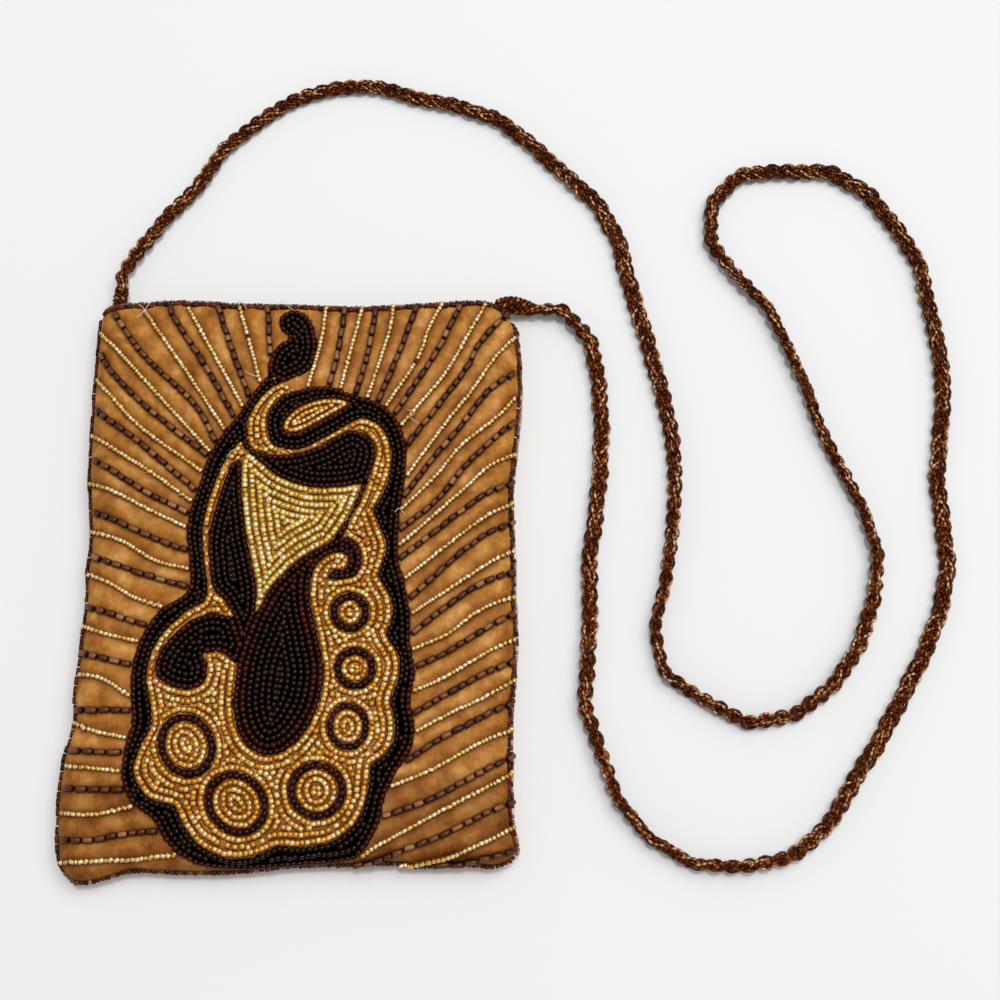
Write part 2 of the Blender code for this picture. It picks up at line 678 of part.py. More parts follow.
def cut_from(piece, name, loop):
    """Cuts a loop, widened by half a clearance, out of a piece, all through."""
    wide = [(x, y, FRONT_Z - ROLL_DROP) for x, y in shrunk(loop, -GAP / 2)]
    bm = drawn([wide], (0.0, 0.0, 2 * ROLL_DROP))
    cutter = bpy.data.objects.new(name, finish_mesh(bm, name))
    bpy.context.scene.collection.objects.link(cutter)
    cutter.hide_render = True
    cutter.display_type = "WIRE"
    cut = piece.modifiers.new(name, "BOOLEAN")
    cut.operation = "DIFFERENCE"
    cut.solver = "EXACT"
    cut.object = cutter


def ray_line(pixels, fences):
    """Returns a ray's points, from the cloth's edge to just short of the drop, lying on the front."""
    radius = RAY_STRING / 2
    limit = np.array((PANEL_X - RAY_STRING, PANEL_Y - RAY_STRING))
    line = smooth_line([photo_point(pixel) for pixel in pixels], 10)
    line = resample(np.clip(line, -limit, limit), 60)
    clear = radius + 2 * GAP
    kept = [place for place in line if min(distance_to(place, fence) for fence in fences) > clear]
    return with_bends(resample(np.array(kept), RAY_POINT_COUNT))


def with_bends(line):
    """Returns a line on the front with points added just beyond each place where the front bends."""
    beyond = GAP / 2
    bends = [(0, x + math.copysign(beyond, x)) for x in side_stations(-1) + side_stations(1)]
    bends += [(1, y - beyond) for y in bottom_stations()]
    points = [line[0]]
    for start, end in zip(line, line[1:]):
        shares = [(place - start[axis]) / (end[axis] - start[axis]) for axis, place in bends
                  if (place - start[axis]) * (end[axis] - place) > 0]
        nearest = RAY_STRING / 2 / np.linalg.norm(end - start)
        shares = [share for share in sorted(shares) if nearest < share < 1 - nearest]
        points += [start + (end - start) * share for share in shares] + [end]
    return np.array(points)


def ridges_mesh(name, lines, profile):
    """Returns ridges along lines on the front. The profile gives (across, height over the front)."""
    bm = bmesh.new()
    for line in lines:
        ahead = np.gradient(line, axis=0)
        ahead /= np.linalg.norm(ahead, axis=1, keepdims=True)
        rings = []
        for (x, y), (dx, dy) in zip(line, ahead):
            feet = [(x - dy * across, y + dx * across, up) for across, up in profile]
            rings.append([bm.verts.new((a, b, FRONT_Z - roll(a, b) + up)) for a, b, up in feet])
        bm.faces.new(rings[0])
        bm.faces.new(rings[-1])
        for ring, after in zip(rings, rings[1:]):
            for i in range(len(profile)):
                j = (i + 1) % len(profile)
                bm.faces.new((ring[i], ring[j], after[j], after[i]))
    return finish_mesh(bm, name)


def rays_mesh():
    """Returns the ray strings as ridges whose feet are sunk into the cloth."""
    fences = [keep_on_panel(outline(BAND_OUTER_PIXELS + BAND_INNER_PIXELS)), outline(BUD_PIXELS),
              outline(GROUND_PIXELS)]
    foot, crest = RAY_STRING / 2, RAY_STRING * RAY_CREST_SHARE / 2
    sink = -CLOTH * RAY_SINK_SHARE
    profile = [(-foot, sink), (-crest, RAY_STRING), (crest, RAY_STRING), (foot, sink)]
    lines = [ray_line(pixels, fences) for pixels in DARK_RAY_PIXELS + GOLD_RAY_PIXELS]
    return ridges_mesh("ray_strings", lines, profile)


def simplified(line):
    """Returns the line without points nearer than ROW_TOLERANCE to the chord, halved at the furthest."""
    if len(line) < 3:
        return line
    chord = line[-1] - line[0]
    reach = (line - line[0]) @ np.array((-chord[1], chord[0])) / np.linalg.norm(chord)
    worst = int(np.argmax(np.abs(reach)))
    if abs(reach[worst]) < ROW_TOLERANCE:
        return line[[0, -1]]
    return np.vstack((simplified(line[:worst + 1])[:-1], simplified(line[worst:])))


def offset_line(loop, side, inset):
    """Returns places a step apart at an inset beside a loop: inside it for side 1, outside for -1.

    With each place comes the line's turn there, in radians, over a row's width to either side.
    """
    loop = loop if area(loop) > 0 else loop[::-1]
    closed = np.vstack((loop, loop[:1]))
    length = np.linalg.norm(np.diff(closed, axis=0), axis=1).sum()
    fine = resample(closed, int(length / ROW_STEP) + 1)[:-1]
    chord = np.roll(fine, -2, axis=0) - np.roll(fine, 2, axis=0)
    chord /= np.linalg.norm(chord, axis=1, keepdims=True)
    moved = fine + side * inset * np.stack((-chord[:, 1], chord[:, 0]), axis=1)
    reach = int(ROW_WIDTH / ROW_STEP)
    after, before = np.roll(moved, -reach, axis=0) - moved, moved - np.roll(moved, reach, axis=0)
    turn = np.arctan2(before[:, 0] * after[:, 1] - before[:, 1] * after[:, 0],
                      np.sum(before * after, axis=1))
    return moved, np.abs(turn)


def main_rows(outer, figures, rings):
    """Returns the lines of a patch's main bead rows: rows inside its outer loop, one round each figure.

    The rings get no row of their own. A place is kept where no edge of the patch, ring or figure is
    nearer than the row's inset, where the line bends gently, and where it stays clear of the rows
    already laid.
    """
    offsets = [(outer, 1, ROW_INSET + number * ROW_SPACING) for number in range(ROW_COUNT)]
    offsets += [(figure, -1, ROW_INSET) for figure in figures]
    holes = figures + rings
    places, kept, lines = np.empty((0, 2)), [], []
    for loop, side, inset in offsets:
        moved, turn = offset_line(loop, side, inset)
        places = np.vstack((places, moved))
        first = len(kept)
        lag = int(2 * (ROW_WIDTH + 2 * ROW_TOLERANCE + GAP) / ROW_STEP)
        for number, place in enumerate(moved):
            room = min([-distance_to(place, outer)] + [distance_to(place, hole) for hole in holes])
            good = room > inset - ROW_TOLERANCE and turn[number] < ROW_SHARPEST
            if good:
                other = np.array(kept, dtype=bool)
                other[max(len(kept) - lag, first):] = False
                laid = places[:len(kept)][other]
                near = np.linalg.norm(laid - place, axis=1).min() if len(laid) else math.inf
                good = near > ROW_WIDTH + 2 * ROW_TOLERANCE + GAP
            kept.append(good)
        flags = np.array(kept[first:])
        runs = np.split(np.arange(len(moved)), np.flatnonzero(np.diff(flags)) + 1)
        shortest = ROW_SHORTEST / ROW_STEP
        lines += [moved[run] for run in runs if flags[run[0]] and len(run) > shortest]
    return [with_bends(simplified(line)) for line in lines]


def rows_mesh(name, outer, figures, rings):
    """Returns the main bead rows of a patch as ridges whose feet are sunk into its bed."""
    low, high = GAP + BEAD_BED - ROW_SINK, GAP + BEAD_HEIGHT
    profile = [(-ROW_WIDTH / 2, low), (0.0, high), (ROW_WIDTH / 2, low)]
    return ridges_mesh(name, main_rows(outer, figures, rings), profile)


# Zip


def make_teeth(name, side, first):
    """Makes one row of teeth: a comb on its corded edge, whose teeth point at the other row."""
    cord_low = ZIP_Z + side * (TOOTH_TOP - TOOTH_CORD)
    cord_high = ZIP_Z + side * TOOTH_TOP
    tip = ZIP_Z + side * (BRIDGE_WIDTH / 2 + GAP)
    count = int((ZIP_RIGHT - GAP - TOOTH_ROOT / 2 - first) / TOOTH_PITCH) + 1
    comb = []
    for number in range(count):
        x = first + number * TOOTH_PITCH
        comb += [(x - TOOTH_ROOT / 2, cord_low), (x - TOOTH_TIP / 2, tip), (x + TOOTH_TIP / 2, tip),
                 (x + TOOTH_ROOT / 2, cord_low)]
    comb += [(comb[-1][0], cord_high), (comb[0][0], cord_high)]
    low = ZIP_Y - TOOTH_DEPTH / 2
    bm = drawn([[(x, low, z) for x, z in comb]], (0.0, TOOTH_DEPTH, 0.0))
    add_object(name, finish_mesh(bm, name), brass())


def make_tape(name, side):
    """Makes one row's tape: it leaves the corded edge, and its leg is sewn flat against the lining."""
    root = ZIP_Z + side * (TOOTH_TOP + GAP)
    leg_low = ZIP_Z + side * (SLIDER_HALF + GAP)
    leg_high = leg_low + side * TAPE
    near, far, end = ZIP_Y - TAPE / 2, ZIP_Y + TAPE / 2, ZIP_Y + TAPE_REACH
    profile = [(near, root), (far, root), (far, leg_low), (end, leg_low), (end, leg_high), (near, leg_high)]
    bm = drawn([[(-TAPE_X, y, z) for y, z in profile]], (2 * TAPE_X, 0.0, 0.0))
    add_object(name, finish_mesh(bm, name), tape_cloth())


def box_mesh(name, low, high):
    """Returns a box between two corners."""
    corners = [(low[0], low[1]), (high[0], low[1]), (high[0], high[1]), (low[0], high[1])]
    bm = drawn([[(x, y, low[2]) for x, y in corners]], (0.0, 0.0, high[2] - low[2]))
    return finish_mesh(bm, name)


def make_stops(first):
    """Makes the bottom stop, across both rows, and the top stop at the open end of each row."""
    low_y, high_y = ZIP_Y - TOOTH_DEPTH / 2, ZIP_Y + TOOTH_DEPTH / 2
    reach = TOOTH_TOP - TOOTH_CORD / 2 - GAP
    bottom = box_mesh("zip_bottom_stop", (ZIP_RIGHT, low_y, ZIP_Z - reach),
                      (ZIP_RIGHT + STOP_LENGTH, high_y, ZIP_Z + reach))
    add_object("zip_bottom_stop", bottom, brass())
    right = first - TOOTH_ROOT / 2 - GAP
    for name, side in (("zip_top_stop_front", 1), ("zip_top_stop_back", -1)):
        low, high = sorted((ZIP_Z + side * (BRIDGE_WIDTH / 2 + GAP), ZIP_Z + side * reach))
        add_object(name, box_mesh(name, (right - STOP_LENGTH, low_y, low), (right, high_y, high)), brass())


def make_slider():
    """Makes the slider: two plates with lips round the rows, the bridge between them, and the lug."""
    half = SLIDER_LENGTH / 2
    lip = SLIDER_HALF - SLIDER_LIP
    profile = [(SLOT_Y, -SLIDER_HALF), (SLIDER_Y, -SLIDER_HALF), (SLIDER_Y, SLIDER_HALF),
               (SLOT_Y, SLIDER_HALF), (SLOT_Y, lip), (CHANNEL_Y, lip), (CHANNEL_Y, -lip), (SLOT_Y, -lip)]
    meshes = []
    for side in (-1, 1):
        bm = drawn([[(-half, side * y, z) for y, z in profile]], (SLIDER_LENGTH, 0.0, 0.0))
        meshes.append(finish_mesh(bm, "slider_plate"))
    reach = CHANNEL_Y + SLIDER_PLATE / 2
    meshes.append(box_mesh("slider_bridge", (-half, -reach, -BRIDGE_WIDTH / 2),
                           (BRIDGE_LENGTH - half, reach, BRIDGE_WIDTH / 2)))
    meshes.append(lug_mesh())
    made = add_object("zip_slider", meshes[0], brass())
    made.location = (SLIDER_X, ZIP_Y, ZIP_Z)
    fuse(made, meshes[1:])


def lug_mesh():
    """Returns the lug on the slider's outer plate: an arch with the hole for the pull's pin."""
    centre = PIN_Y - ZIP_Y
    outer = LUG_HOLE + LUG_WALL
    base = SLIDER_Y - SLIDER_PLATE / 2
    angles = np.linspace(0.0, math.pi, 9)
    arch = [(outer * math.cos(a), centre + outer * math.sin(a)) for a in angles]
    hole = [(LUG_HOLE * math.cos(a), centre + LUG_HOLE * math.sin(a)) for a in ROUND_ANGLES]
    edges = ([(outer, base), *arch, (-outer, base)], hole)
    bm = drawn([[(x, y, -LUG_WIDTH / 2) for x, y in edge] for edge in edges], (0.0, 0.0, LUG_WIDTH))
    return finish_mesh(bm, "slider_lug")


def make_pull():
    """Makes the pull: a flat tab with a hole at its tip, two arms beside the lug, and their pin."""
    arm_low = LUG_WIDTH / 2 + GAP
    arm_high = arm_low + PULL_ARM
    neck = -(LUG_HOLE + LUG_WALL + GAP)
    tip_radius = arm_high
    tip = -PULL_LENGTH + tip_radius
    thick = PULL_THICKNESS / 2
    angles = np.linspace(math.pi / 2, 3 * math.pi / 2, 11)
    end = [(tip + tip_radius * math.cos(a), tip_radius * math.sin(a)) for a in angles]
    outer = end + [(thick, -arm_high), (thick, -arm_low), (neck, -arm_low), (neck, arm_low),
                   (thick, arm_low), (thick, arm_high)]
    hole = [(tip + PULL_HOLE / 2 * math.cos(a), PULL_HOLE / 2 * math.sin(a)) for a in ROUND_ANGLES]
    loops = [[(x, -thick, z) for x, z in loop] for loop in (outer, hole)]
    tab = finish_mesh(drawn(loops, (0.0, PULL_THICKNESS, 0.0)), "pull_tab")
    reach = arm_low + PULL_ARM / 2
    pin = [(PULL_PIN / 2 * math.cos(a), PULL_PIN / 2 * math.sin(a), -reach) for a in ROUND_ANGLES]
    pin_mesh = finish_mesh(drawn([pin], (0.0, 0.0, 2 * reach)), "pull_pin")
    made = add_object("zip_pull", tab, brass())
    made.location = (SLIDER_X, PIN_Y, ZIP_Z)
    fuse(made, [pin_mesh])


def make_zip():
    """Makes the zip: tapes, rows of teeth set half a pitch apart, stops, slider and pull."""
    first = ZIP_LEFT + STOP_LENGTH + GAP + TOOTH_ROOT / 2
    make_tape("zip_tape_front", 1)
    make_tape("zip_tape_back", -1)
    make_teeth("zip_teeth_front", 1, first)
    make_teeth("zip_teeth_back", -1, first + TOOTH_PITCH / 2)
    make_stops(first)
    make_slider()
    make_pull()


# Strap


def knot_starts():
    """Returns where each knot starts, and the way it points: up at the left, outwards at the right."""
    left = np.array((KNOT_TOP_INSET - WIDTH / 2, HEIGHT / 2 + GAP))
    right = np.array((WIDTH / 2 + GAP, HEIGHT / 2 - KNOT_SIDE_INSET))
    up, out = np.array((0.0, 1.0)), np.array((1.0, 0.0))
    return {"strap_knot_left": (left, up), "strap_knot_right": (right, out)}


def make_knot(name, start, way):
    """Makes a stitched knot: a barrel that runs from its start at the purse to the strap."""
    radius = KNOT_DIAMETER / 2
    end_radius = radius * KNOT_END_SHARE
    swell = KNOT_LENGTH / 3
    profile = [(0.0, 0.0), (end_radius, 0.0), (radius, swell), (radius, KNOT_LENGTH - swell),
               (end_radius, KNOT_LENGTH), (0.0, KNOT_LENGTH)]
    bm = bmesh.new()
    verts = [bm.verts.new((radius, along, 0.0)) for radius, along in profile]
    edges = [bm.edges.new(pair) for pair in zip(verts, verts[1:])]
    bmesh.ops.spin(bm, geom=verts + edges, axis=(0.0, 1.0, 0.0), cent=(0.0, 0.0, 0.0),
                   angle=2 * math.pi, steps=12, use_duplicate=False)
    bmesh.ops.remove_doubles(bm, verts=bm.verts, dist=MERGE_TOLERANCE)
    mesh = finish_mesh(bm, name)
    mesh.shade_smooth()
    made = add_object(name, mesh, copper_beads())
    made.location = (*start, KNOT_DIAMETER / 2)
    made.rotation_euler = (0.0, 0.0, -math.atan2(way[0], way[1]))


def strap_line():
    """Returns the strap's points: the route on the surface, lifted at its ends to meet the knots."""
    half = STRAP / 2
    route = [photo_point(pixel, FRONT_Z - half) for pixel in STRAP_PIXELS]
    leads = []
    for start, way in knot_starts().values():
        end = start + way * (KNOT_LENGTH + GAP)
        leads.append([end, end + way * STRAP])
    middle = smooth_line([leads[0][1], *route, leads[1][1]], 8)
    line = np.vstack((leads[0][0], resample(middle, STRAP_POINT_COUNT - 2), leads[1][0]))
    along = np.concatenate(([0.0], np.cumsum(np.linalg.norm(np.diff(line, axis=0), axis=1))))
    from_end = np.minimum(along, along[-1] - along)
    lift = np.clip(1 - (from_end - STRAP) / STRAP_SINK, 0, 1) ** 2 * (KNOT_DIAMETER / 2 - half)
    return [(x, y, half + rise) for (x, y), rise in zip(line, lift)]


def make_strap():
    """Makes the strap as a plain round cord, and its two knots."""
    for name, (start, way) in knot_starts().items():
        make_knot(name, start, way)
    line = strap_line()
    length = np.linalg.norm(np.diff(line, axis=0), axis=1).sum()
    print(f"strap length {length:.4f} m")
    tube("strap", line, STRAP, copper_beads())


clear_scene()
make_panels()
make_seams()
make_piping()
make_drop()
make_zip()
make_strap()
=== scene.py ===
# %% [markdown]
# # A beaded evening purse with a braided strap
#
# The purse is flat work: caramel satin over stiff canvas, covered with glass beads that were
# strung on thread and sewn down row by row. Nearly all that the eye reads is those rows. So this
# lesson makes one low bead, works out where each row runs, and lays thousands of copies along the
# rows as whole arrays. The bodies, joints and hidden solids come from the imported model.

# %% Tools, and the model that carries everything
import math

import bpy
import numpy as np
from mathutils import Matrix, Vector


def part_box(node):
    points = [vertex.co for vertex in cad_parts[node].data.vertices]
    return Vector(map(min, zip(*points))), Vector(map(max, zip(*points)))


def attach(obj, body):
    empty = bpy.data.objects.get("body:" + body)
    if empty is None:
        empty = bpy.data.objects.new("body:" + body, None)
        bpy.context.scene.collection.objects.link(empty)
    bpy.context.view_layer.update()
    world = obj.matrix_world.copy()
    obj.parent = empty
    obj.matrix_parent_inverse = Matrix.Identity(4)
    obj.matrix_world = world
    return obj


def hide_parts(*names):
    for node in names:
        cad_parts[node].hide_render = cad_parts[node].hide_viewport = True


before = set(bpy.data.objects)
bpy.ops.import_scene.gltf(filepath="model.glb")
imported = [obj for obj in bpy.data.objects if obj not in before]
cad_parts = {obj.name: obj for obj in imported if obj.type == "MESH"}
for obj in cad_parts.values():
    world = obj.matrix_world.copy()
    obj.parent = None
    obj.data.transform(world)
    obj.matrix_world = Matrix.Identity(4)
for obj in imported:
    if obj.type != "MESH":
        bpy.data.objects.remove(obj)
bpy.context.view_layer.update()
MM = 0.001
chance = np.random.default_rng(11)

# %% [markdown]
# ## Two small helpers for materials
#
# Colours are picked from the look of the real thing as sRGB hex, and shaders want linear light, so
# one function converts them. One more function adds any node with its settings and its links.


# %% Colour and node helpers
def linear(colour):
    """Turns sRGB hex into linear RGBA: c / 12.92 up to 0.04045, above it ((c + 0.055) / 1.055) ^ 2.4."""
    share = np.array([int(colour[i:i + 2], 16) for i in (1, 3, 5)]) / 255
    light = np.where(share <= 0.04045, share / 12.92, ((share + 0.055) / 1.055) ** 2.4)
    return (*light.tolist(), 1.0)


def add_node(tree, kind, sockets=(), stops=(), **settings):
    """Adds a node. sockets maps its inputs to values or to outputs to link; stops fill a ramp."""
    node = tree.nodes.new(kind)
    for name, value in settings.items():
        setattr(node, name, value)
    for key, value in dict(sockets).items():
        if isinstance(value, bpy.types.NodeSocket):
            tree.links.new(value, node.inputs[key])
        else:
            node.inputs[key].default_value = value
    for number, (place, colour) in enumerate(stops):
        ramp = node.color_ramp.elements
        if number == 0:
            ramp.remove(ramp[1])
            ramp[0].position = place
        element = ramp[0] if number == 0 else ramp.new(place)
        element.color = linear(colour)
    return node


def start_material(name, **constants):
    """Makes a Principled material with constants on its sockets. Returns it, its tree and its shader."""
    made = bpy.data.materials.new(name)
    made.use_nodes = True
    shader = made.node_tree.nodes["Principled BSDF"]
    for key, value in constants.items():
        shader.inputs[key.replace("_", " ")].default_value = value
    return made, made.node_tree, shader


# %% [markdown]
# ## The camera, and from pixels to places
#
# The photograph was taken from above the purse's lower right, tilted a little. Its focal length and
# place were found from the purse's four corners. The same camera turned round gives, for any pixel,
# the place at a chosen height where that line of sight lands, so that every row drawn over the
# photograph lands on the purse.

# %% Camera
FOCAL_PIXELS = 1500.0
FRAME_PIXELS = 1000.0
CAMERA_TILT = math.radians(15.7)
CAMERA_PLACE = np.array((0.0701, -0.1177, 0.5176))
SENSOR = 36.0

lens = bpy.data.cameras.new("photo_camera")
lens.sensor_width = SENSOR
lens.lens = SENSOR * FOCAL_PIXELS / FRAME_PIXELS
camera = bpy.data.objects.new("photo_camera", lens)
camera.location = CAMERA_PLACE
camera.rotation_euler = (CAMERA_TILT, 0.0, 0.0)
bpy.context.scene.collection.objects.link(camera)
bpy.context.scene.camera = camera
print(f"camera: {lens.lens:.0f} mm lens, {CAMERA_PLACE[2]:.2f} m up")


def places(pixels, height):
    """Returns where the lines of sight through pixels meet a height.

    A line of sight leaves the camera along (across, sin t + up cos t, up sin t - cos t), with the
    tilt t, and is followed until it has fallen to the height.
    """
    pixels = np.asarray(pixels, float)
    across = (pixels[:, 0] - FRAME_PIXELS / 2) / FOCAL_PIXELS
    up = (FRAME_PIXELS / 2 - pixels[:, 1]) / FOCAL_PIXELS
    sine, cosine = math.sin(CAMERA_TILT), math.cos(CAMERA_TILT)
    reach = (CAMERA_PLACE[2] - height) / (cosine - up * sine)
    return np.stack((CAMERA_PLACE[0] + across * reach,
                     CAMERA_PLACE[1] + (sine + up * cosine) * reach), axis=1)


# %% [markdown]
# ## Lines through points
#
# Rows, rays and the strap are all smooth lines through a few chosen points. A Catmull-Rom curve
# passes through each point, and resampling it at even steps gives the beads their spacing.


# %% Smooth lines
def smooth_line(points, steps):
    """Runs a Catmull-Rom curve through points: a cubic between each two, from its four neighbours."""
    points = np.asarray(points, float)
    ends = np.vstack((2 * points[0] - points[1], points, 2 * points[-1] - points[-2]))
    a, b, c, d = (ends[i:len(ends) - 3 + i, None] for i in range(4))
    t = (np.arange(steps) / steps)[None, :, None]
    curve = 0.5 * (2 * b + (c - a) * t + (2 * a - 5 * b + 4 * c - d) * t ** 2
                   + (3 * b - a - 3 * c + d) * t ** 3)
    return np.vstack((curve.reshape(-1, points.shape[1]), points[-1:]))


def lengths_along(line):
    """Returns how far along the line each of its points lies."""
    return np.concatenate(([0.0], np.cumsum(np.linalg.norm(np.diff(line, axis=0), axis=1))))


def at_lengths(line, wanted):
    """Returns the points of a line at the wanted lengths along it."""
    along = lengths_along(line)
    return np.stack([np.interp(wanted, along, column) for column in line.T], axis=1)


def unit(vectors):
    """Scales each vector to length one."""
    return vectors / np.maximum(np.linalg.norm(vectors, axis=-1, keepdims=True), 1e-12)


# %% [markdown]
# ## The strap's route
#
# The strap is one long loop of braided bead strings, and the photograph shows all of it. It is limp,
# so it lies flat on the table in loose curves, and lifts only at its ends, where it is sewn to the
# mouth's corners. The route is set down here first, because everything else lies round it.

# %% Route of the strap
WIDTH, HEIGHT = 152 * MM, 203 * MM
FRONT_Z = 10.7 * MM
PIPING_Z = 6.45 * MM
GAP = 0.3 * MM
STRAP = 5 * MM
KNOT_LENGTH, KNOT_DIAMETER = 6.5 * MM, 6.8 * MM
STRAP_PIXELS = [
    (126, 281), (148, 240), (185, 200), (205, 180), (215, 160), (232, 143), (280, 107), (310, 95),
    (335, 88), (360, 85), (390, 90), (440, 106), (465, 108), (498, 120), (540, 153), (578, 188),
    (597, 204), (616, 234), (629, 284), (645, 335), (655, 370), (671, 430), (674, 470), (674, 510),
    (666, 580), (657, 603), (654, 629), (654, 654), (662, 672), (695, 695), (739, 721), (759, 724),
    (779, 721), (802, 711), (841, 677), (864, 634), (876, 588), (879, 568), (870, 525), (830, 450),
    (816, 420), (810, 398), (783, 339), (759, 295), (724, 267), (709, 238), (711, 207), (718, 193),
    (742, 174), (764, 173), (819, 172), (840, 176), (859, 186), (893, 226), (921, 270), (929, 315),
    (940, 357), (943, 398), (938, 460), (937, 490), (943, 525), (948, 567), (941, 608), (927, 647),
    (904, 693), (879, 741), (853, 782), (830, 823), (812, 841), (777, 865), (736, 867), (698, 866),
    (662, 846), (639, 830), (616, 797), (603, 759), (584, 703), (585, 672), (591, 636), (589, 560),
    (598, 500), (602, 430), (598, 375), (592, 345), (580, 319), (556, 309), (535, 304),
]
knot_left = np.array((6 * MM - WIDTH / 2, HEIGHT / 2 + GAP))
knot_right = np.array((WIDTH / 2 + GAP, HEIGHT / 2 - 2 * MM))
UP_WAY, OUT_WAY = np.array((0.0, 1.0)), np.array((1.0, 0.0))
strap_starts = [knot_left + UP_WAY * (KNOT_LENGTH + GAP), knot_right + OUT_WAY * (KNOT_LENGTH + GAP)]
strap_middle = smooth_line([strap_starts[0] + UP_WAY * STRAP, *places(STRAP_PIXELS, STRAP / 2),
                            strap_starts[1] + OUT_WAY * STRAP], 8)
strap_flat = np.vstack((strap_starts[0],
                        at_lengths(strap_middle, np.linspace(0, lengths_along(strap_middle)[-1], 78)),
                        strap_starts[1]))
from_end = np.minimum(lengths_along(strap_flat), lengths_along(strap_flat[::-1])[::-1])
lift = np.clip(1 - (from_end - STRAP) / (30 * MM), 0, 1) ** 2 * (KNOT_DIAMETER - STRAP) / 2
strap_path = np.column_stack((strap_flat, STRAP / 2 + lift))
STRAP_LENGTH = lengths_along(strap_path)[-1]
print(f"strap: {STRAP_LENGTH:.3f} m long")

# %% [markdown]
# ## The purse's outline and its padded front
#
# The real purse isn't a true rectangle: its left edge waves, its lower left corner hangs and its
# corners are soft. The four edges are read from the photograph and kept as lines. The front is flat
# in its middle and rolls down to the edges, and the satin puffs a little between the ray strings
# that hold it down. One function gives the height anywhere, so cloth and beads agree.

# %% Edges of the front
LEFT_PIXELS = [(101, 300), (97, 335), (94, 370), (91.5, 400), (89, 440), (87, 475), (88.5, 515), (88.5, 545),
               (85, 575), (84, 605), (80, 635), (76, 668), (72, 698), (73, 717), (69, 735), (61.5, 758),
               (57.5, 785), (55, 808), (54.5, 835), (56, 862), (61, 885)]
RIGHT_PIXELS = [(502, 298), (511, 311), (518, 326), (521, 345), (523.5, 385), (523, 405), (520, 440),
                (516, 475), (514.5, 510), (516.5, 545), (517.5, 600), (519, 640), (517.5, 680), (514.5, 715),
                (514.5, 800), (516.5, 828), (520.5, 848), (519, 875)]
BOTTOM_PIXELS = [(50, 872), (65, 879), (75, 885), (87, 885.5), (98, 883.5), (114, 878.5), (127, 874.5),
                 (140, 873.5), (158, 875), (202, 876), (248, 874), (278, 870.5), (309, 868.5), (346, 868),
                 (392, 866.5), (422, 869.5), (453, 867), (491, 869.5), (506, 866), (525, 858)]
TOP_PIXELS = [(98, 306), (111, 304), (130, 302), (180, 299), (240, 302), (300, 303), (350, 305), (420, 302),
              (470, 299), (488, 300), (500, 304), (512, 312), (525, 325)]
SIDE_MARGIN, BOTTOM_MARGIN, ROLL_DROP = 9 * MM, 6 * MM, 4 * MM
SEAM_INSET = 1.2 * MM
left_line = smooth_line(places(LEFT_PIXELS, PIPING_Z), 6)[::-1]
right_line = smooth_line(places(RIGHT_PIXELS, PIPING_Z), 6)[::-1]
bottom_line = smooth_line(places(BOTTOM_PIXELS, PIPING_Z), 6)
top_line = smooth_line(places(TOP_PIXELS, FRONT_Z), 6)


def edge_distances(x, y):
    """Returns the distances inwards from the left, right, bottom and top edges."""
    return (x - np.interp(y, left_line[:, 1], left_line[:, 0]),
            np.interp(y, right_line[:, 1], right_line[:, 0]) - x,
            y - np.interp(x, bottom_line[:, 0], bottom_line[:, 1]),
            np.interp(x, top_line[:, 0], top_line[:, 1]) - y)


def waves(x, y, wavelength, seed):
    """Returns smooth wandering waves between about -1 and 1: a mean of six sines in seeded directions."""
    pick = np.random.default_rng(seed)
    turn, phase = pick.uniform(0, math.pi, 6), pick.uniform(0, 2 * math.pi, 6)
    size = wavelength * pick.uniform(0.6, 1.6, 6)
    places_on = x[..., None] * np.cos(turn) + y[..., None] * np.sin(turn)
    return np.sin(2 * math.pi * places_on / size + phase).mean(axis=-1)


def nearest(points, targets):
    """Returns each point's distance to the nearest target, from |a|^2 + |b|^2 - 2ab in blocks."""
    found = [np.sqrt(np.maximum((block ** 2).sum(1)[:, None] + (targets ** 2).sum(1)
                                - 2 * block @ targets.T, 0).min(axis=1))
             for block in np.array_split(points, max(len(points) // 3000, 1))]
    return np.concatenate(found)


# %% [markdown]
# ## Outlines of the beadwork
#
# The ornament is a paisley drop, a pattern far older than this purse. Its figures are drawn as runs
# of points over the photograph: a run is smooth, and two runs meet at a corner.

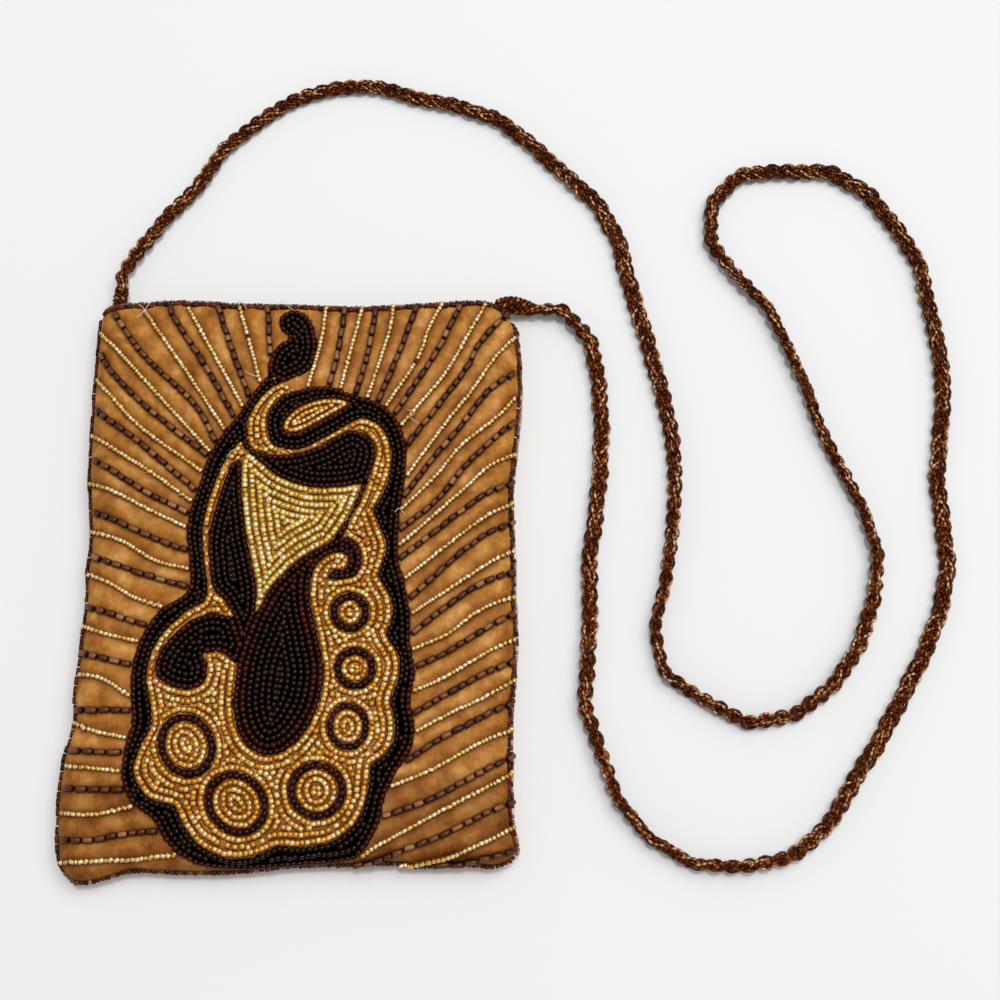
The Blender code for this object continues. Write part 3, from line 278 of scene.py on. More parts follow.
# %% Points of the paisley drop
BAND_OUTER = [
    (268, 376), (254, 392), (240, 413), (222, 435), (208, 458), (200, 482), (190, 512), (187, 535),
    (190, 568), (187, 592), (160, 611), (142, 636), (132, 668), (131, 703), (132, 722), (124, 752),
    (122, 778), (131, 802), (153, 820), (166, 842), (186, 860), (212, 867), (250, 868), (300, 864),
    (342, 861), (362, 853), (378, 826), (385, 798), (396, 774), (411, 750), (415, 728), (411, 702),
    (415, 672), (411, 645), (410, 612), (404, 580), (398, 555), (400, 515), (406, 474), (406, 444),
    (397, 420), (380, 404), (356, 396), (330, 387), (312, 388), (297, 391)]
BAND_INNER = [
    [(297, 391), (284, 396), (271, 410), (267, 424), (270, 440), (279, 448), (300, 450), (320, 441),
     (340, 430), (360, 420), (379, 426), (390, 445), (391, 466), (385, 489), (373, 511)],
    [(373, 511), (380, 528), (386, 548), (378, 576)],
    [(378, 576), (390, 598), (392, 616), (386, 635)],
    [(386, 635), (398, 656), (399, 674), (390, 702)],
    [(390, 702), (395, 727), (389, 750), (371, 765)],
    [(371, 765), (368, 790), (358, 820), (333, 841), (302, 847), (278, 846)],
    [(278, 846), (250, 857), (220, 856), (192, 838), (175, 806)],
    [(175, 806), (148, 797), (134, 773), (140, 749), (152, 725), (150, 700), (147, 675), (157, 643),
     (182, 616), (204, 603)],
    [(204, 603), (208, 590), (205, 560), (203, 530), (210, 499), (223, 467), (241, 441)],
    [(241, 441), (248, 438)],
    [(248, 438), (248, 422), (257, 404), (271, 389), (284, 383)]]
BUD = [
    [(268, 376), (269, 362), (277, 348), (289, 339)],
    [(289, 339), (281, 330), (281, 317), (293, 311), (307, 316), (315, 331), (317, 350), (309, 371),
     (284, 383)],
    [(284, 383), (268, 376)]]
HEAD_LEAF = [
    [(353, 404), (338, 400), (318, 401), (298, 409), (285, 422), (286, 432), (300, 432), (322, 421),
     (340, 411), (353, 404)]]
CRESCENT = [
    [(248, 438), (251, 449), (265, 454), (292, 454), (318, 447), (342, 434), (358, 431), (372, 441),
     (376, 455), (369, 480)],
    [(369, 480), (362, 484)],
    [(362, 484), (340, 488), (310, 488), (280, 478), (262, 464), (247, 451), (241, 441)],
    [(241, 441), (248, 438)]]
LINK = [
    [(369, 480), (362, 500), (352, 518), (344, 536)],
    [(344, 536), (331, 542)],
    [(331, 542), (344, 524), (354, 506), (362, 484)],
    [(362, 484), (369, 480)]]
TRIANGLE = [
    [(243, 458), (242, 485), (246, 530), (252, 560), (257, 590), (256, 614)],
    [(256, 614), (273, 586), (300, 560), (331, 542)],
    [(331, 542), (344, 524), (354, 506), (362, 484)],
    [(362, 484), (340, 488), (310, 488), (280, 478), (262, 464), (250, 453)],
    [(250, 453), (243, 458)]]
STEM_LEAF = [
    [(243, 458), (242, 485), (246, 530), (252, 560), (257, 590), (256, 614)],
    [(256, 614), (243, 645)],
    [(243, 645), (234, 617)],
    [(234, 617), (224, 600), (213, 588), (209, 560), (209, 535), (218, 500), (231, 464)],
    [(231, 464), (243, 458)]]
LEFT_CURL = [
    [(234, 617), (210, 614), (186, 624), (163, 648), (155, 670), (166, 684), (188, 690), (203, 684),
     (208, 668), (203, 654)],
    [(203, 654), (221, 653), (237, 665)],
    [(237, 665), (243, 645)],
    [(243, 645), (234, 617)]]
TEARDROP = [
    [(237, 665), (243, 645)],
    [(243, 645), (256, 614)],
    [(256, 614), (273, 586), (300, 560), (331, 542)],
    [(331, 542), (344, 536)],
    [(344, 536), (357, 545), (362, 560), (354, 577), (327, 581)],
    [(327, 581), (331, 570)],
    [(331, 570), (344, 570), (349, 560), (340, 553), (322, 560), (312, 577), (311, 603), (319, 640),
     (324, 675), (316, 713), (294, 745), (266, 756), (243, 741), (233, 707), (237, 665)]]
# Rings: centre, outer and inner half sizes across and along, in pixels, and turn in degrees
RINGS = [((350, 613), (20, 20), (11, 12), 0), ((355, 669), (21, 21), (14, 13), 0),
         ((348, 727), (21, 24), (15, 17), 0), ((317, 791), (29, 29), (21, 22), 0),
         ((237, 804), (30, 34), (23, 26), -40), ((187, 746), (29, 33), (21, 24), -20)]

# %% Points of the rays, from the purse's edge inwards
DARK_RAYS = [
    [(268, 306), (271, 355)],
    [(219, 307), (231, 346), (250, 399)],
    [(170, 307), (178, 324), (209, 372), (235, 418)],
    [(115, 314), (144, 356), (195, 405), (216, 442)],
    [(101, 353), (117, 378), (153, 413), (210, 458)],
    [(97, 409), (111, 422), (141, 444), (193, 488)],
    [(94, 459), (111, 470), (149, 494), (187, 513)],
    [(94, 511), (120, 523), (160, 541), (187, 551)],
    [(92, 556), (127, 569), (157, 579), (190, 588)],
    [(86, 606), (111, 614), (144, 625)],
    [(80, 652), (105, 659), (131, 665)],
    [(75, 710), (131, 711)],
    [(69, 751), (120, 753)],
    [(65, 789), (118, 790)],
    [(62, 840), (94, 840), (127, 834), (159, 831)],
    [(346, 308), (338, 355), (330, 386)],
    [(377, 308), (368, 355), (356, 396)],
    [(418, 306), (399, 355), (379, 401)],
    [(461, 306), (449, 330), (434, 358), (394, 416)],
    [(508, 312), (479, 346), (462, 376), (409, 444)],
    [(514, 372), (487, 394), (462, 426), (434, 459), (399, 504)],
    [(514, 421), (487, 446), (462, 471), (437, 501), (401, 530)],
    [(514, 480), (487, 494), (462, 512), (402, 558)],
    [(514, 520), (479, 540), (451, 562), (410, 599)],
    [(514, 570), (475, 588), (443, 610), (410, 636)],
    [(514, 612), (475, 636), (443, 655), (414, 668)],
    [(514, 660), (475, 679), (443, 697), (414, 714)],
    [(514, 700), (475, 721), (443, 738), (408, 760)],
    [(514, 754), (469, 779), (432, 799), (380, 818)],
    [(514, 800), (469, 822), (432, 840), (378, 858)],
    [(514, 850), (486, 857), (460, 862)]]
GOLD_RAYS = [
    [(240, 308), (252, 350), (261, 384)],
    [(189, 309), (209, 345), (243, 407)],
    [(145, 312), (184, 368), (227, 433)],
    [(101, 332), (120, 353), (156, 393), (212, 454)],
    [(97, 378), (109, 393), (141, 428), (201, 471)],
    [(92, 434), (115, 450), (156, 476), (192, 502)],
    [(90, 482), (118, 494), (149, 510), (187, 528)],
    [(90, 530), (125, 543), (157, 562), (186, 569)],
    [(88, 573), (111, 584), (135, 598), (161, 607)],
    [(82, 625), (105, 634), (140, 642)],
    [(79, 674), (103, 679), (127, 694)],
    [(74, 722), (94, 731), (127, 738)],
    [(66, 766), (118, 771)],
    [(61, 813), (94, 815), (127, 808)],
    [(60, 862), (83, 862), (116, 860), (179, 855)],
    [(327, 308), (321, 346), (310, 383)],
    [(363, 308), (355, 338), (341, 390)],
    [(394, 306), (389, 335), (368, 398)],
    [(443, 304), (429, 330), (418, 360), (386, 407)],
    [(486, 305), (467, 338), (446, 374), (413, 413)],
    [(514, 336), (492, 363), (471, 393), (446, 424), (409, 474)],
    [(514, 397), (496, 419), (462, 446), (437, 476), (402, 510)],
    [(514, 452), (487, 469), (462, 492), (402, 544)],
    [(514, 500), (487, 517), (459, 537), (404, 580)],
    [(514, 548), (464, 580), (412, 614)],
    [(514, 595), (475, 614), (449, 634), (413, 650)],
    [(514, 638), (475, 660), (443, 679), (412, 692)],
    [(514, 678), (486, 697), (454, 712), (414, 733)],
    [(514, 727), (475, 746), (432, 770), (388, 788)],
    [(514, 770), (486, 788), (453, 805), (378, 846)],
    [(514, 826), (486, 842), (453, 855), (425, 861)]]

# %% [markdown]
# ## From runs of points to closed loops
#
# Each outline becomes a loop of points a quarter of a millimetre apart, run anticlockwise, so its
# left side is its inside. Rows are later laid beside these loops.


# %% Loops
FINE_STEP = 0.25 * MM


def even_line(points, step=FINE_STEP):
    """Resamples a line at even steps."""
    total = lengths_along(points)[-1]
    return at_lengths(points, np.linspace(0, total, max(int(total / step), 2)))


def run_lines(runs):
    """Turns each run of pixels into its smooth line on the front's plane."""
    return [smooth_line(places(run, FRONT_Z), 8 if len(run) > 2 else 1) for run in runs]


def loop_of(runs):
    """Joins runs into one closed even loop, turned anticlockwise by the sign of its area."""
    line = np.vstack([line[:-1] for line in run_lines(runs)])
    loop = even_line(np.vstack((line, line[:1])))[:-1]
    x, y = loop.T
    return loop if np.sum(x * np.roll(y, -1) - y * np.roll(x, -1)) > 0 else loop[::-1]


def ellipse_loop(centre, half_sizes, turn):
    """Returns an ellipse's loop: cosine and sine of an even angle, scaled, turned and moved."""
    angle = np.linspace(0, 2 * math.pi, 160, endpoint=False)
    across, along = half_sizes[0] * np.cos(angle), half_sizes[1] * np.sin(angle)
    cosine, sine = math.cos(math.radians(turn)), math.sin(math.radians(turn))
    pixels = np.stack((centre[0] + across * cosine - along * sine,
                       centre[1] + across * sine + along * cosine), axis=1)
    line = places(pixels, FRONT_Z)[::-1]
    return even_line(np.vstack((line, line[:1])))[:-1]


def is_inside(points, loop):
    """Tells which points a loop holds: those from which a ray crosses it an odd number of times."""
    start, end = loop[::2], np.roll(loop[::2], -1, axis=0)
    found = []
    for block in np.array_split(points, max(len(points) // 3000, 1)):
        x, y = block[:, :1], block[:, 1:]
        spans = (start[:, 1] > y) != (end[:, 1] > y)
        rise = np.where(end[:, 1] == start[:, 1], 1.0, end[:, 1] - start[:, 1])
        crossing = start[:, 0] + (y - start[:, 1]) / rise * (end[:, 0] - start[:, 0])
        found.append((spans & (crossing > x)).sum(axis=1) % 2 == 1)
    return np.concatenate(found)


loops = {
    "band": loop_of([BAND_OUTER] + BAND_INNER), "bud": loop_of(BUD), "head_leaf": loop_of(HEAD_LEAF),
    "ground": loop_of(BAND_INNER + [[(284, 383), (297, 391)]]), "crescent": loop_of(CRESCENT),
    "link": loop_of(LINK), "triangle": loop_of(TRIANGLE), "stem_leaf": loop_of(STEM_LEAF),
    "left_curl": loop_of(LEFT_CURL), "teardrop": loop_of(TEARDROP)}
for number, (centre, outer, inner, turn) in enumerate(RINGS, 1):
    loops[f"ring_{number}"] = ellipse_loop(centre, outer, turn)
    loops[f"ring_centre_{number}"] = ellipse_loop(centre, inner, turn)
print(len(loops), "loops,", sum(map(len, loops.values())), "points")


# %% Ray lines, cut short where they meet the drop
def ray_lines(rays):
    """Turns rays into even lines on the front, run on inwards until they touch the drop."""
    fence = np.vstack((loops["band"], loops["bud"]))
    lines = []
    for ray in rays:
        line = smooth_line(places(ray, FRONT_Z - MM), 10)
        line = even_line(np.vstack((line, line[-1] + unit(line[-1] - line[-2]) * 9 * MM)), 0.3 * MM)
        free = (nearest(line, fence) > 0.2 * MM) & ~is_inside(line, loops["band"])
        lines.append(line[:np.argmin(free)] if not free.all() else line)
    return lines


dark_lines, gold_lines = ray_lines(DARK_RAYS), ray_lines(GOLD_RAYS)
ray_points = np.vstack(dark_lines + gold_lines)


# %% Height of the front anywhere
def front_height(x, y, puff=True):
    """Returns the satin's height.

    It is FRONT_Z, less ROLL_DROP times 1 - (1 - a^2)(1 - b^2), where a and b go from 0 to 1 over the
    side and bottom margins, plus slow waves and a puff that grows with the distance to the nearest
    ray string as 1 - exp(-(d / 2.8 mm)^2).
    """
    left, right, bottom, top = edge_distances(x, y)
    side = np.clip(1 - (np.minimum(left, right) - SEAM_INSET) / (SIDE_MARGIN - SEAM_INSET), 0, 1)
    low = np.clip(1 - (bottom - SEAM_INSET) / (BOTTOM_MARGIN - SEAM_INSET), 0, 1)
    height = FRONT_Z - ROLL_DROP * (1 - (1 - side ** 2) * (1 - low ** 2))
    height = height + 0.30 * MM * waves(x, y, 38 * MM, 3) - 0.25 * MM
    if puff:
        points = np.stack((x.ravel(), y.ravel()), axis=1)
        away = nearest(points, ray_points[::2]).reshape(x.shape)
        edge = np.clip(np.minimum(np.minimum(left, right), np.minimum(bottom, top)) / (4 * MM), 0, 1)
        height = height + 0.95 * MM * edge * (1 - np.exp(-(away / (2.8 * MM)) ** 2))
        height = height + 0.32 * MM * edge * waves(x, y * 0.6, 7 * MM, 5)
        height = height + 0.08 * MM * edge * waves(x, y, 2.6 * MM, 6)
    return height


def on_front(points, rise):
    """Returns places on the front lifted by rise, and the front's outward normal there."""
    x, y = points.T
    step = 0.3 * MM
    height = front_height(x, y, puff=False)
    slope_x = (front_height(x + step, y, puff=False) - height) / step
    slope_y = (front_height(x, y + step, puff=False) - height) / step
    normal = unit(np.stack((-slope_x, -slope_y, np.ones_like(x)), axis=1))
    return np.column_stack((x, y, height)) + normal * rise, normal


# %% [markdown]
# ## One bead, many times
#
# A seed bead is a slice of drawn glass tube, tumbled in heat until its rims are round. A cut bead is
# tumbled less, so its rims stay fuller, and a bugle is the same tube cut longer, with crisp ends. Each
# is a profile spun round the thread, with 6 or 8 sides and few stations, because thousands are laid.
# Each copy keeps three numbers: a random tint, how far along the bead a point is, and how near its
# crown. The materials read them, and paint light and shade from the last two.


# %% Bead shapes
def spun(stations, sides=8):
    """Spins stations (along, radius) round X and returns points, quads and two end caps."""
    angle = (np.arange(sides) + 0.5) * 2 * math.pi / sides
    along, radius = np.array(stations).T
    points = np.stack((np.repeat(along, sides), np.outer(radius, np.cos(angle)).ravel(),
                       np.outer(radius, np.sin(angle)).ravel()), axis=1)
    j = np.arange(sides)
    first = (np.arange(len(stations) - 1) * sides)[:, None]
    quads = np.stack((first + j, first + (j + 1) % sides, first + sides + (j + 1) % sides,
                      first + sides + j), axis=-1).reshape(-1, 4)
    caps = np.stack((j[::-1], j + (len(stations) - 1) * sides))
    return points, quads, caps


SEED = spun([(-0.5, 0.55), (-0.36, 0.92), (0.0, 1.0), (0.36, 0.92), (0.5, 0.55)])
SMALL_SEED = spun([(-0.5, 0.62), (0.0, 1.0), (0.5, 0.62)], 6)
CUT = spun([(-0.5, 0.8), (-0.4, 0.97), (0.0, 1.0), (0.4, 0.97), (0.5, 0.8)])
BUGLE = spun([(-0.5, 0.72), (-0.44, 0.96), (0.0, 1.0), (0.44, 0.96), (0.5, 0.72)])


def turned(ways, angles):
    """Turns flat directions by angles: (x cos a - y sin a, x sin a + y cos a)."""
    cosine, sine = np.cos(angles), np.sin(angles)
    return np.stack((ways[:, 0] * cosine - ways[:, 1] * sine, ways[:, 0] * sine + ways[:, 1] * cosine), 1)


def on_slope(ways, normal):
    """Lays flat directions into the front's slope: each less its share along the normal."""
    flat = np.column_stack((ways, np.zeros(len(ways))))
    return unit(flat - normal * (flat * normal).sum(axis=1, keepdims=True))


def beads_along(line, lengths):
    """Threads beads of the given lengths on a line, and returns those that fit: lengths, ends,
    middles and directions.
    """
    ends = np.cumsum(lengths)
    fits = ends < lengths_along(line)[-1]
    lengths, ends = lengths[fits], ends[fits]
    return (lengths, ends, at_lengths(line, ends - lengths / 2),
            unit(at_lengths(line, ends) - at_lengths(line, ends - lengths)))


def lay_beads(shape, centres, ways, ups, lengths, diameters, tints=None):
    """Copies a bead to each centre: X along its way, Z along its up, scaled to length and diameter."""
    points, quads, caps = shape
    count, size = len(centres), len(points)
    ups = unit(ups - ways * (ups * ways).sum(axis=1, keepdims=True))
    sides = np.cross(ups, ways)
    lengths = np.broadcast_to(lengths, count)[:, None, None]
    radii = np.broadcast_to(diameters, count)[:, None, None] / 2
    laid = (centres[:, None] + points[None, :, :1] * lengths * ways[:, None]
            + points[None, :, 1:2] * radii * sides[:, None] + points[None, :, 2:] * radii * ups[:, None])
    offset = (np.arange(count) * size)[:, None, None]
    tints = chance.uniform(0, 1, count) if tints is None else tints
    return {"points": laid.reshape(-1, 3), "quads": (quads + offset).reshape(-1, 4),
            "caps": (caps + offset).reshape(-1, caps.shape[1]), "tint": np.repeat(tints, size),
            "along": np.tile(points[:, 0] * 2, count), "crown": np.tile(points[:, 2], count)}


# %% Meshes from arrays
def make_piece(name, points, faces, surface, body="purse", **attributes):
    """Puts points and faces (arrays of corner numbers) into a mesh that rides on a body."""
    mesh = bpy.data.meshes.new(name)
    mesh.vertices.add(len(points))
    mesh.vertices.foreach_set("co", np.ascontiguousarray(points, np.float32).ravel())
    sizes = np.concatenate([np.full(len(block), block.shape[1]) for block in faces])
    mesh.loops.add(int(sizes.sum()))
    corners = np.concatenate([block.ravel() for block in faces])
    mesh.loops.foreach_set("vertex_index", corners.astype(np.int32))
    mesh.polygons.add(len(sizes))
    mesh.polygons.foreach_set("loop_start", (np.cumsum(sizes) - sizes).astype(np.int32))
    mesh.polygons.foreach_set("use_smooth", np.ones(len(sizes), bool))
    for key, values in attributes.items():
        layer = mesh.attributes.new(key, "FLOAT", "POINT")
        layer.data.foreach_set("value", np.ascontiguousarray(values, np.float32))
    mesh.update(calc_edges=True)
    mesh.materials.append(surface)
    piece = bpy.data.objects.new(name, mesh)
    bpy.context.scene.collection.objects.link(piece)
    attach(piece, body)
    return piece


def bead_piece(name, piles, surface, body="purse"):
    """Joins piles of laid beads into one piece."""
    starts = np.cumsum([0] + [len(pile["points"]) for pile in piles[:-1]])
    blocks = {}
    for pile, start in zip(piles, starts):
        for key in ("quads", "caps"):
            blocks.setdefault(pile[key].shape[1], []).append(pile[key] + start)
    faces = [np.vstack(blocks[corners]) for corners in sorted(blocks)]
    joined = {key: np.concatenate([pile[key] for pile in piles])
              for key in ("points", "tint", "along", "crown")}
    triangles = sum(len(block) * (block.shape[1] - 2) for block in faces)
    print(f"{name}: {triangles} triangles")
    return make_piece(name, joined.pop("points"), faces, surface, body, **joined)


# %% [markdown]
# ## Bead glass
#
# Black beads are opaque jet glass, the outlines are dark brown glass, and the gold ones are clear
# amber glass lined with silver. Each bead's crown is painted lighter as a painted highlight, a yellow
# glint on the gold ones, and its sides darker as painted shade, deep ochre on the gold ones. A random
# tint per bead makes some honey, some straw and a few pinkish, as in a mixed hank.


# %% Bead materials
def bead_glass(name, stops, painted_shade_colour, roughness, metallic=0.0, specular=0.5, crown_from=-0.1,
               crown_to=0.75, glint="#ffc896"):
    """Makes bead glass: a ramp over the bead's tint, turned below its crown to a painted shade colour, so
    the crown reads as a painted highlight.
    """
    made, tree, shader = start_material(name, Roughness=roughness, Metallic=metallic, IOR=1.5,
                                        Specular_IOR_Level=specular, Specular_Tint=linear(glint))
    tint = add_node(tree, "ShaderNodeAttribute", attribute_name="tint")
    crown = add_node(tree, "ShaderNodeAttribute", attribute_name="crown")
    mixed = add_node(tree, "ShaderNodeValToRGB", {"Fac": tint.outputs["Fac"]}, stops)
    high = add_node(tree, "ShaderNodeMapRange", {"Value": crown.outputs["Fac"], "From Min": crown_from,
                                                 "From Max": crown_to}, interpolation_type="SMOOTHSTEP")
    shade = add_node(tree, "ShaderNodeMix", {"Factor": high.outputs["Result"], "A": linear(painted_shade_colour),
                                             "B": mixed.outputs["Color"]}, data_type="RGBA")
    tree.links.new(shade.outputs[2], shader.inputs["Base Color"])
    return made


# In each glass the colour after the ramp is the painted shade below the crown, and the ramp's colours on the
# crown act as a painted highlight.
jet_glass = bead_glass("jet_glass", [(0.0, "#030101"), (0.7, "#080303"), (1.0, "#1e100c")], "#010000",
                       0.2, specular=0.45, glint="#f0bc9c")
brown_glass = bead_glass("dark_brown_glass", [(0.0, "#140403"), (0.6, "#280b08"), (1.0, "#40150f")],
                         "#080201", 0.2, specular=0.45, glint="#f0a890")
gold_glass = bead_glass("silver_lined_amber_glass",
                        [(0.0, "#be7c20"), (0.25, "#d4983c"), (0.55, "#e6b45e"), (0.82, "#f6d68e"),
                         (0.94, "#e8a670"), (1.0, "#d68c48")], "#7c3a00", 0.24, metallic=0.35, specular=0.4,
                        crown_from=0.44, crown_to=0.97)
lemon_glass = bead_glass("silver_lined_lemon_glass",
                         [(0.0, "#c0943a"), (0.3, "#dab054"), (0.6, "#eeca70"), (0.9, "#f9e4a4"),
                          (1.0, "#eaba80")], "#885204", 0.24, metallic=0.35, specular=0.4,
                         crown_from=0.34, crown_to=0.96)
print("glass:", jet_glass.name, brown_glass.name, gold_glass.name, lemon_glass.name)

# %% [markdown]
# ## Rows inside a figure
#
# A beader outlines a figure first and then works inwards, each row beside the last. The same is done
# here: a row is the figure's loop moved inwards by a distance, and only those of its points are kept
# that lie no nearer than that to any other edge. Rows that would crowd an earlier row are dropped,
# and the small spaces left at the end take single beads, as they do under the needle.


# %% Rows
def inner_ways(loop, span=5):
    """Returns the normal to the left of the loop, from the chord over a few points on both sides."""
    chord = np.roll(loop, -span, axis=0) - np.roll(loop, span, axis=0)
    return unit(np.stack((-chord[:, 1], chord[:, 0]), axis=1))


def moved_rows(loop, inset, fence, allowed):
    """Moves a loop to its left by inset, keeps what is allowed and clear of the fence, and splits it."""
    moved = loop + inner_ways(loop) * inset
    keep = (nearest(moved, fence) > abs(inset) - 0.07 * MM) & allowed(moved)
    if keep.all():
        return [np.vstack((moved, moved[:1]))]
    if not keep.any():
        return []
    start = np.argmin(keep)
    moved, keep = np.roll(moved, -start, axis=0), np.roll(keep, -start)
    kept = moved[keep]
    breaks = np.flatnonzero(np.linalg.norm(np.diff(kept, axis=0), axis=1) > 0.9 * MM) + 1
    return [run for run in np.split(kept, breaks) if len(run) > 3]


def spaced(line, pitch):
    """Returns bead centres at even spacing close to the pitch, and the line's direction at each."""
    total = lengths_along(line)[-1]
    count = max(int(round(total / pitch)), 1)
    at = (np.arange(count) + 0.5) * total / count
    ahead = at_lengths(line, np.minimum(at + 0.3 * pitch, total))
    behind = at_lengths(line, np.maximum(at - 0.3 * pitch, 0))
    return at_lengths(line, at), unit(ahead - behind)


def fill_figure(sources, holes, fence, row_count, spacing, pitch, outer=None, early=()):
    """Lays rows beside every source loop until no space is left.

    sources are (loop, side) pairs, side 1 for rows inside the loop and -1 for rows outside it, and
    early is (source number, row number) pairs laid before the others. The area is inside outer and
    outside the holes. Returns centres, directions and row numbers.
    """
    outer = sources[0][0] if outer is None else outer
    centres, ways, rows = np.empty((0, 2)), np.empty((0, 2)), np.empty(0, int)

    def allowed(points):
        free = is_inside(points, outer)
        for hole in holes:
            free &= ~is_inside(points, hole)
        return free

    later = [(number, row) for row in range(row_count) for number in range(len(sources))]
    for number, row in [*early, *(pair for pair in later if pair not in early)]:
        loop, side = sources[number]
        for line in moved_rows(loop, side * (row + 0.5) * spacing, fence, allowed):
            where, way = spaced(line, pitch)
            if len(centres):
                free = nearest(where, centres) > 0.8 * spacing
                where, way = where[free], way[free]
            centres, ways = np.vstack((centres, where)), np.vstack((ways, way))
            rows = np.append(rows, np.full(len(where), row))
    low, high = outer.min(axis=0), outer.max(axis=0)
    grid = np.stack(np.meshgrid(*(np.arange(a, b, 0.4 * MM) for a, b in zip(low, high))), -1).reshape(-1, 2)
    grid = grid[allowed(grid)]
    clear = max(0.8 * pitch, 0.68 * spacing)
    room = np.minimum(nearest(grid, centres) / clear, nearest(grid, fence) / (0.36 * pitch))
    while len(grid) and room.max() > 1:
        best = np.argmax(room)
        beside = np.argmin(np.linalg.norm(centres - grid[best], axis=1))
        centres, ways = np.vstack((centres, grid[best:best + 1])), np.vstack((ways, ways[beside:beside + 1]))
        rows = np.append(rows, max(rows[beside], 1))
        room = np.minimum(room, np.linalg.norm(grid - grid[best], axis=1) / clear)
    return centres, ways, rows


def rows_inside(loop, row_count, spacing, pitch):
    """Fills a whole loop from its edge inwards."""
    return fill_figure([(loop, 1)], [], loop, row_count, spacing, pitch)


def sewn_beads(centres, ways, pitch, diameter, shape=SEED, loose=1.0):
    """Lays beads on the front, each a little off its place, turn and size, as hand sewing leaves them."""
    count = len(centres)
    centres = centres + chance.normal(0, 0.05 * MM * loose, (count, 2))
    ways = turned(ways, chance.normal(0, 0.07 * loose, count))
    size = diameter * chance.normal(1, 0.04, count)
    lifted, normal = on_front(centres, 0)
    lifted = lifted + normal * (size * 0.4 + chance.normal(0, 0.04 * MM * loose, count))[:, None]
    return lay_beads(shape, lifted, on_slope(ways, normal), normal,
                     pitch * 0.97 * chance.normal(1, 0.04 * loose, count), size)


# %% [markdown]
# ## The dark figures
#
# The band, the bud, the crescent, the leaf, the curl and the teardrop are jet rows inside one or two
# rows of dark brown glass. Seed beads of this size lie about 2 mm apart on the thread, and so do
# their rows.

# %% Dark figures
JET_PITCH = 2.0 * MM


def dark_figure(name, node, laid, brown_rows, diameter):
    """Splits a figure's rows into brown outline rows and jet rows, one piece with two glasses."""
    centres, ways, rows = laid
    brown = rows < brown_rows
    piles = [sewn_beads(centres[pick], ways[pick], JET_PITCH, diameter) for pick in (brown, ~brown)
             if pick.any()]
    piece = bead_piece(name, piles, brown_glass if brown.any() else jet_glass)
    if brown.any() and not brown.all():
        piece.data.materials.append(jet_glass)
        corner = np.empty(len(piece.data.loops), np.int32)
        piece.data.loops.foreach_get("vertex_index", corner)
        first = np.empty(len(piece.data.polygons), np.int32)
        piece.data.polygons.foreach_get("loop_start", first)
        is_jet = corner[first] >= len(piles[0]["points"])
        piece.data.polygons.foreach_set("material_index", is_jet.astype(np.int32))
    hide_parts(node)


for figure, row_count, brown_rows, spacing in (("bud", 6, 1, 2.05), ("crescent", 7, 1, 2.1),
                                               ("stem_leaf", 5, 1, 2.0), ("left_curl", 8, 1, 2.1),
                                               ("teardrop", 10, 2, 2.2)):
    laid = rows_inside(loops[figure], row_count, spacing * MM, JET_PITCH)
    node = "paisley_bud" if figure == "bud" else figure
    dark_figure(f"{figure}_beads", node, laid, brown_rows, spacing * MM * 1.02)

leaf_loop, band_loop = loops["head_leaf"], loops["band"]
band_fence = np.vstack((band_loop, leaf_loop))
centres, ways, rows = fill_figure([(band_loop, 1), (leaf_loop, -1)], [leaf_loop], band_fence, 5,
                                  1.95 * MM, JET_PITCH, outer=band_loop)
outer_edge = even_line(run_lines([BAND_OUTER])[0])
brown_side = (nearest(centres, outer_edge) < 1.3 * MM) | (nearest(centres, leaf_loop) < 1.3 * MM)
dark_figure("band_beads", "paisley_band", (centres, ways, np.where(brown_side, 0, 1)), 1, 2.0 * MM)

centres, ways, rows = rows_inside(loops["link"], 2, 1.8 * MM, JET_PITCH)
piece = bead_piece("link_beads", [sewn_beads(centres, ways, JET_PITCH, 1.9 * MM)], brown_glass)
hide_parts("link_strip")

# %% [markdown]
# ## The gold ground
#
# Gold rows follow every edge of the ground at once: three along the scallops, two round the
# teardrop, and loops round each ring. The gold beads are squat, 1.75 mm along the thread and up to
# 2.6 mm across it. Their crowns are painted as glints and their sides in deep amber painted shade, and
# the satin between the rows is painted darker still, so a line of painted shade parts the rows.

# %% Gold figures
GOLD_PITCH = 1.75 * MM


def gold_figure(name, node, laid, diameter, glass=gold_glass, loose=2.0):
    """Sews a figure's rows in cut gold beads."""
    centres, ways, rows = laid
    piece = bead_piece(name, [sewn_beads(centres, ways, GOLD_PITCH, diameter, CUT, loose)], glass)
    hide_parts(node)


dark_names = ("crescent", "link", "triangle", "stem_leaf", "left_curl", "teardrop")
ground_holes = [loops[key] for key in (*dark_names, *(f"ring_{n}" for n in range(1, 7)))]
ground_fence = np.vstack([loops["ground"], *ground_holes])
laid = fill_figure([(loops["ground"], 1)] + [(hole, -1) for hole in ground_holes], ground_holes,
                   ground_fence, 6, 2.55 * MM, GOLD_PITCH, outer=loops["ground"],
                   early=[(0, 0), (6, 0), (0, 1), (6, 1), (0, 2)])
sizes = 2 * np.clip(nearest(laid[0], ground_fence), 0.8 * MM, 1.3 * MM)
gold_figure("ground_beads", "gold_ground", laid, sizes)
gold_figure("triangle_beads", "gold_triangle",
            rows_inside(loops["triangle"], 12, 2.5 * MM, GOLD_PITCH), 2.55 * MM, lemon_glass)
gold_figure("head_leaf_beads", "head_leaf",
            rows_inside(leaf_loop, 4, 2.1 * MM, GOLD_PITCH), 2.15 * MM, loose=1.5)

# %% [markdown]
# ## The six rings
#
# Each ring is one round of large dark brown beads about a gold eye, which winds inwards to its
# middle. The round is laid midway between the ring's two ellipses, the eye's rows inside the inner one.

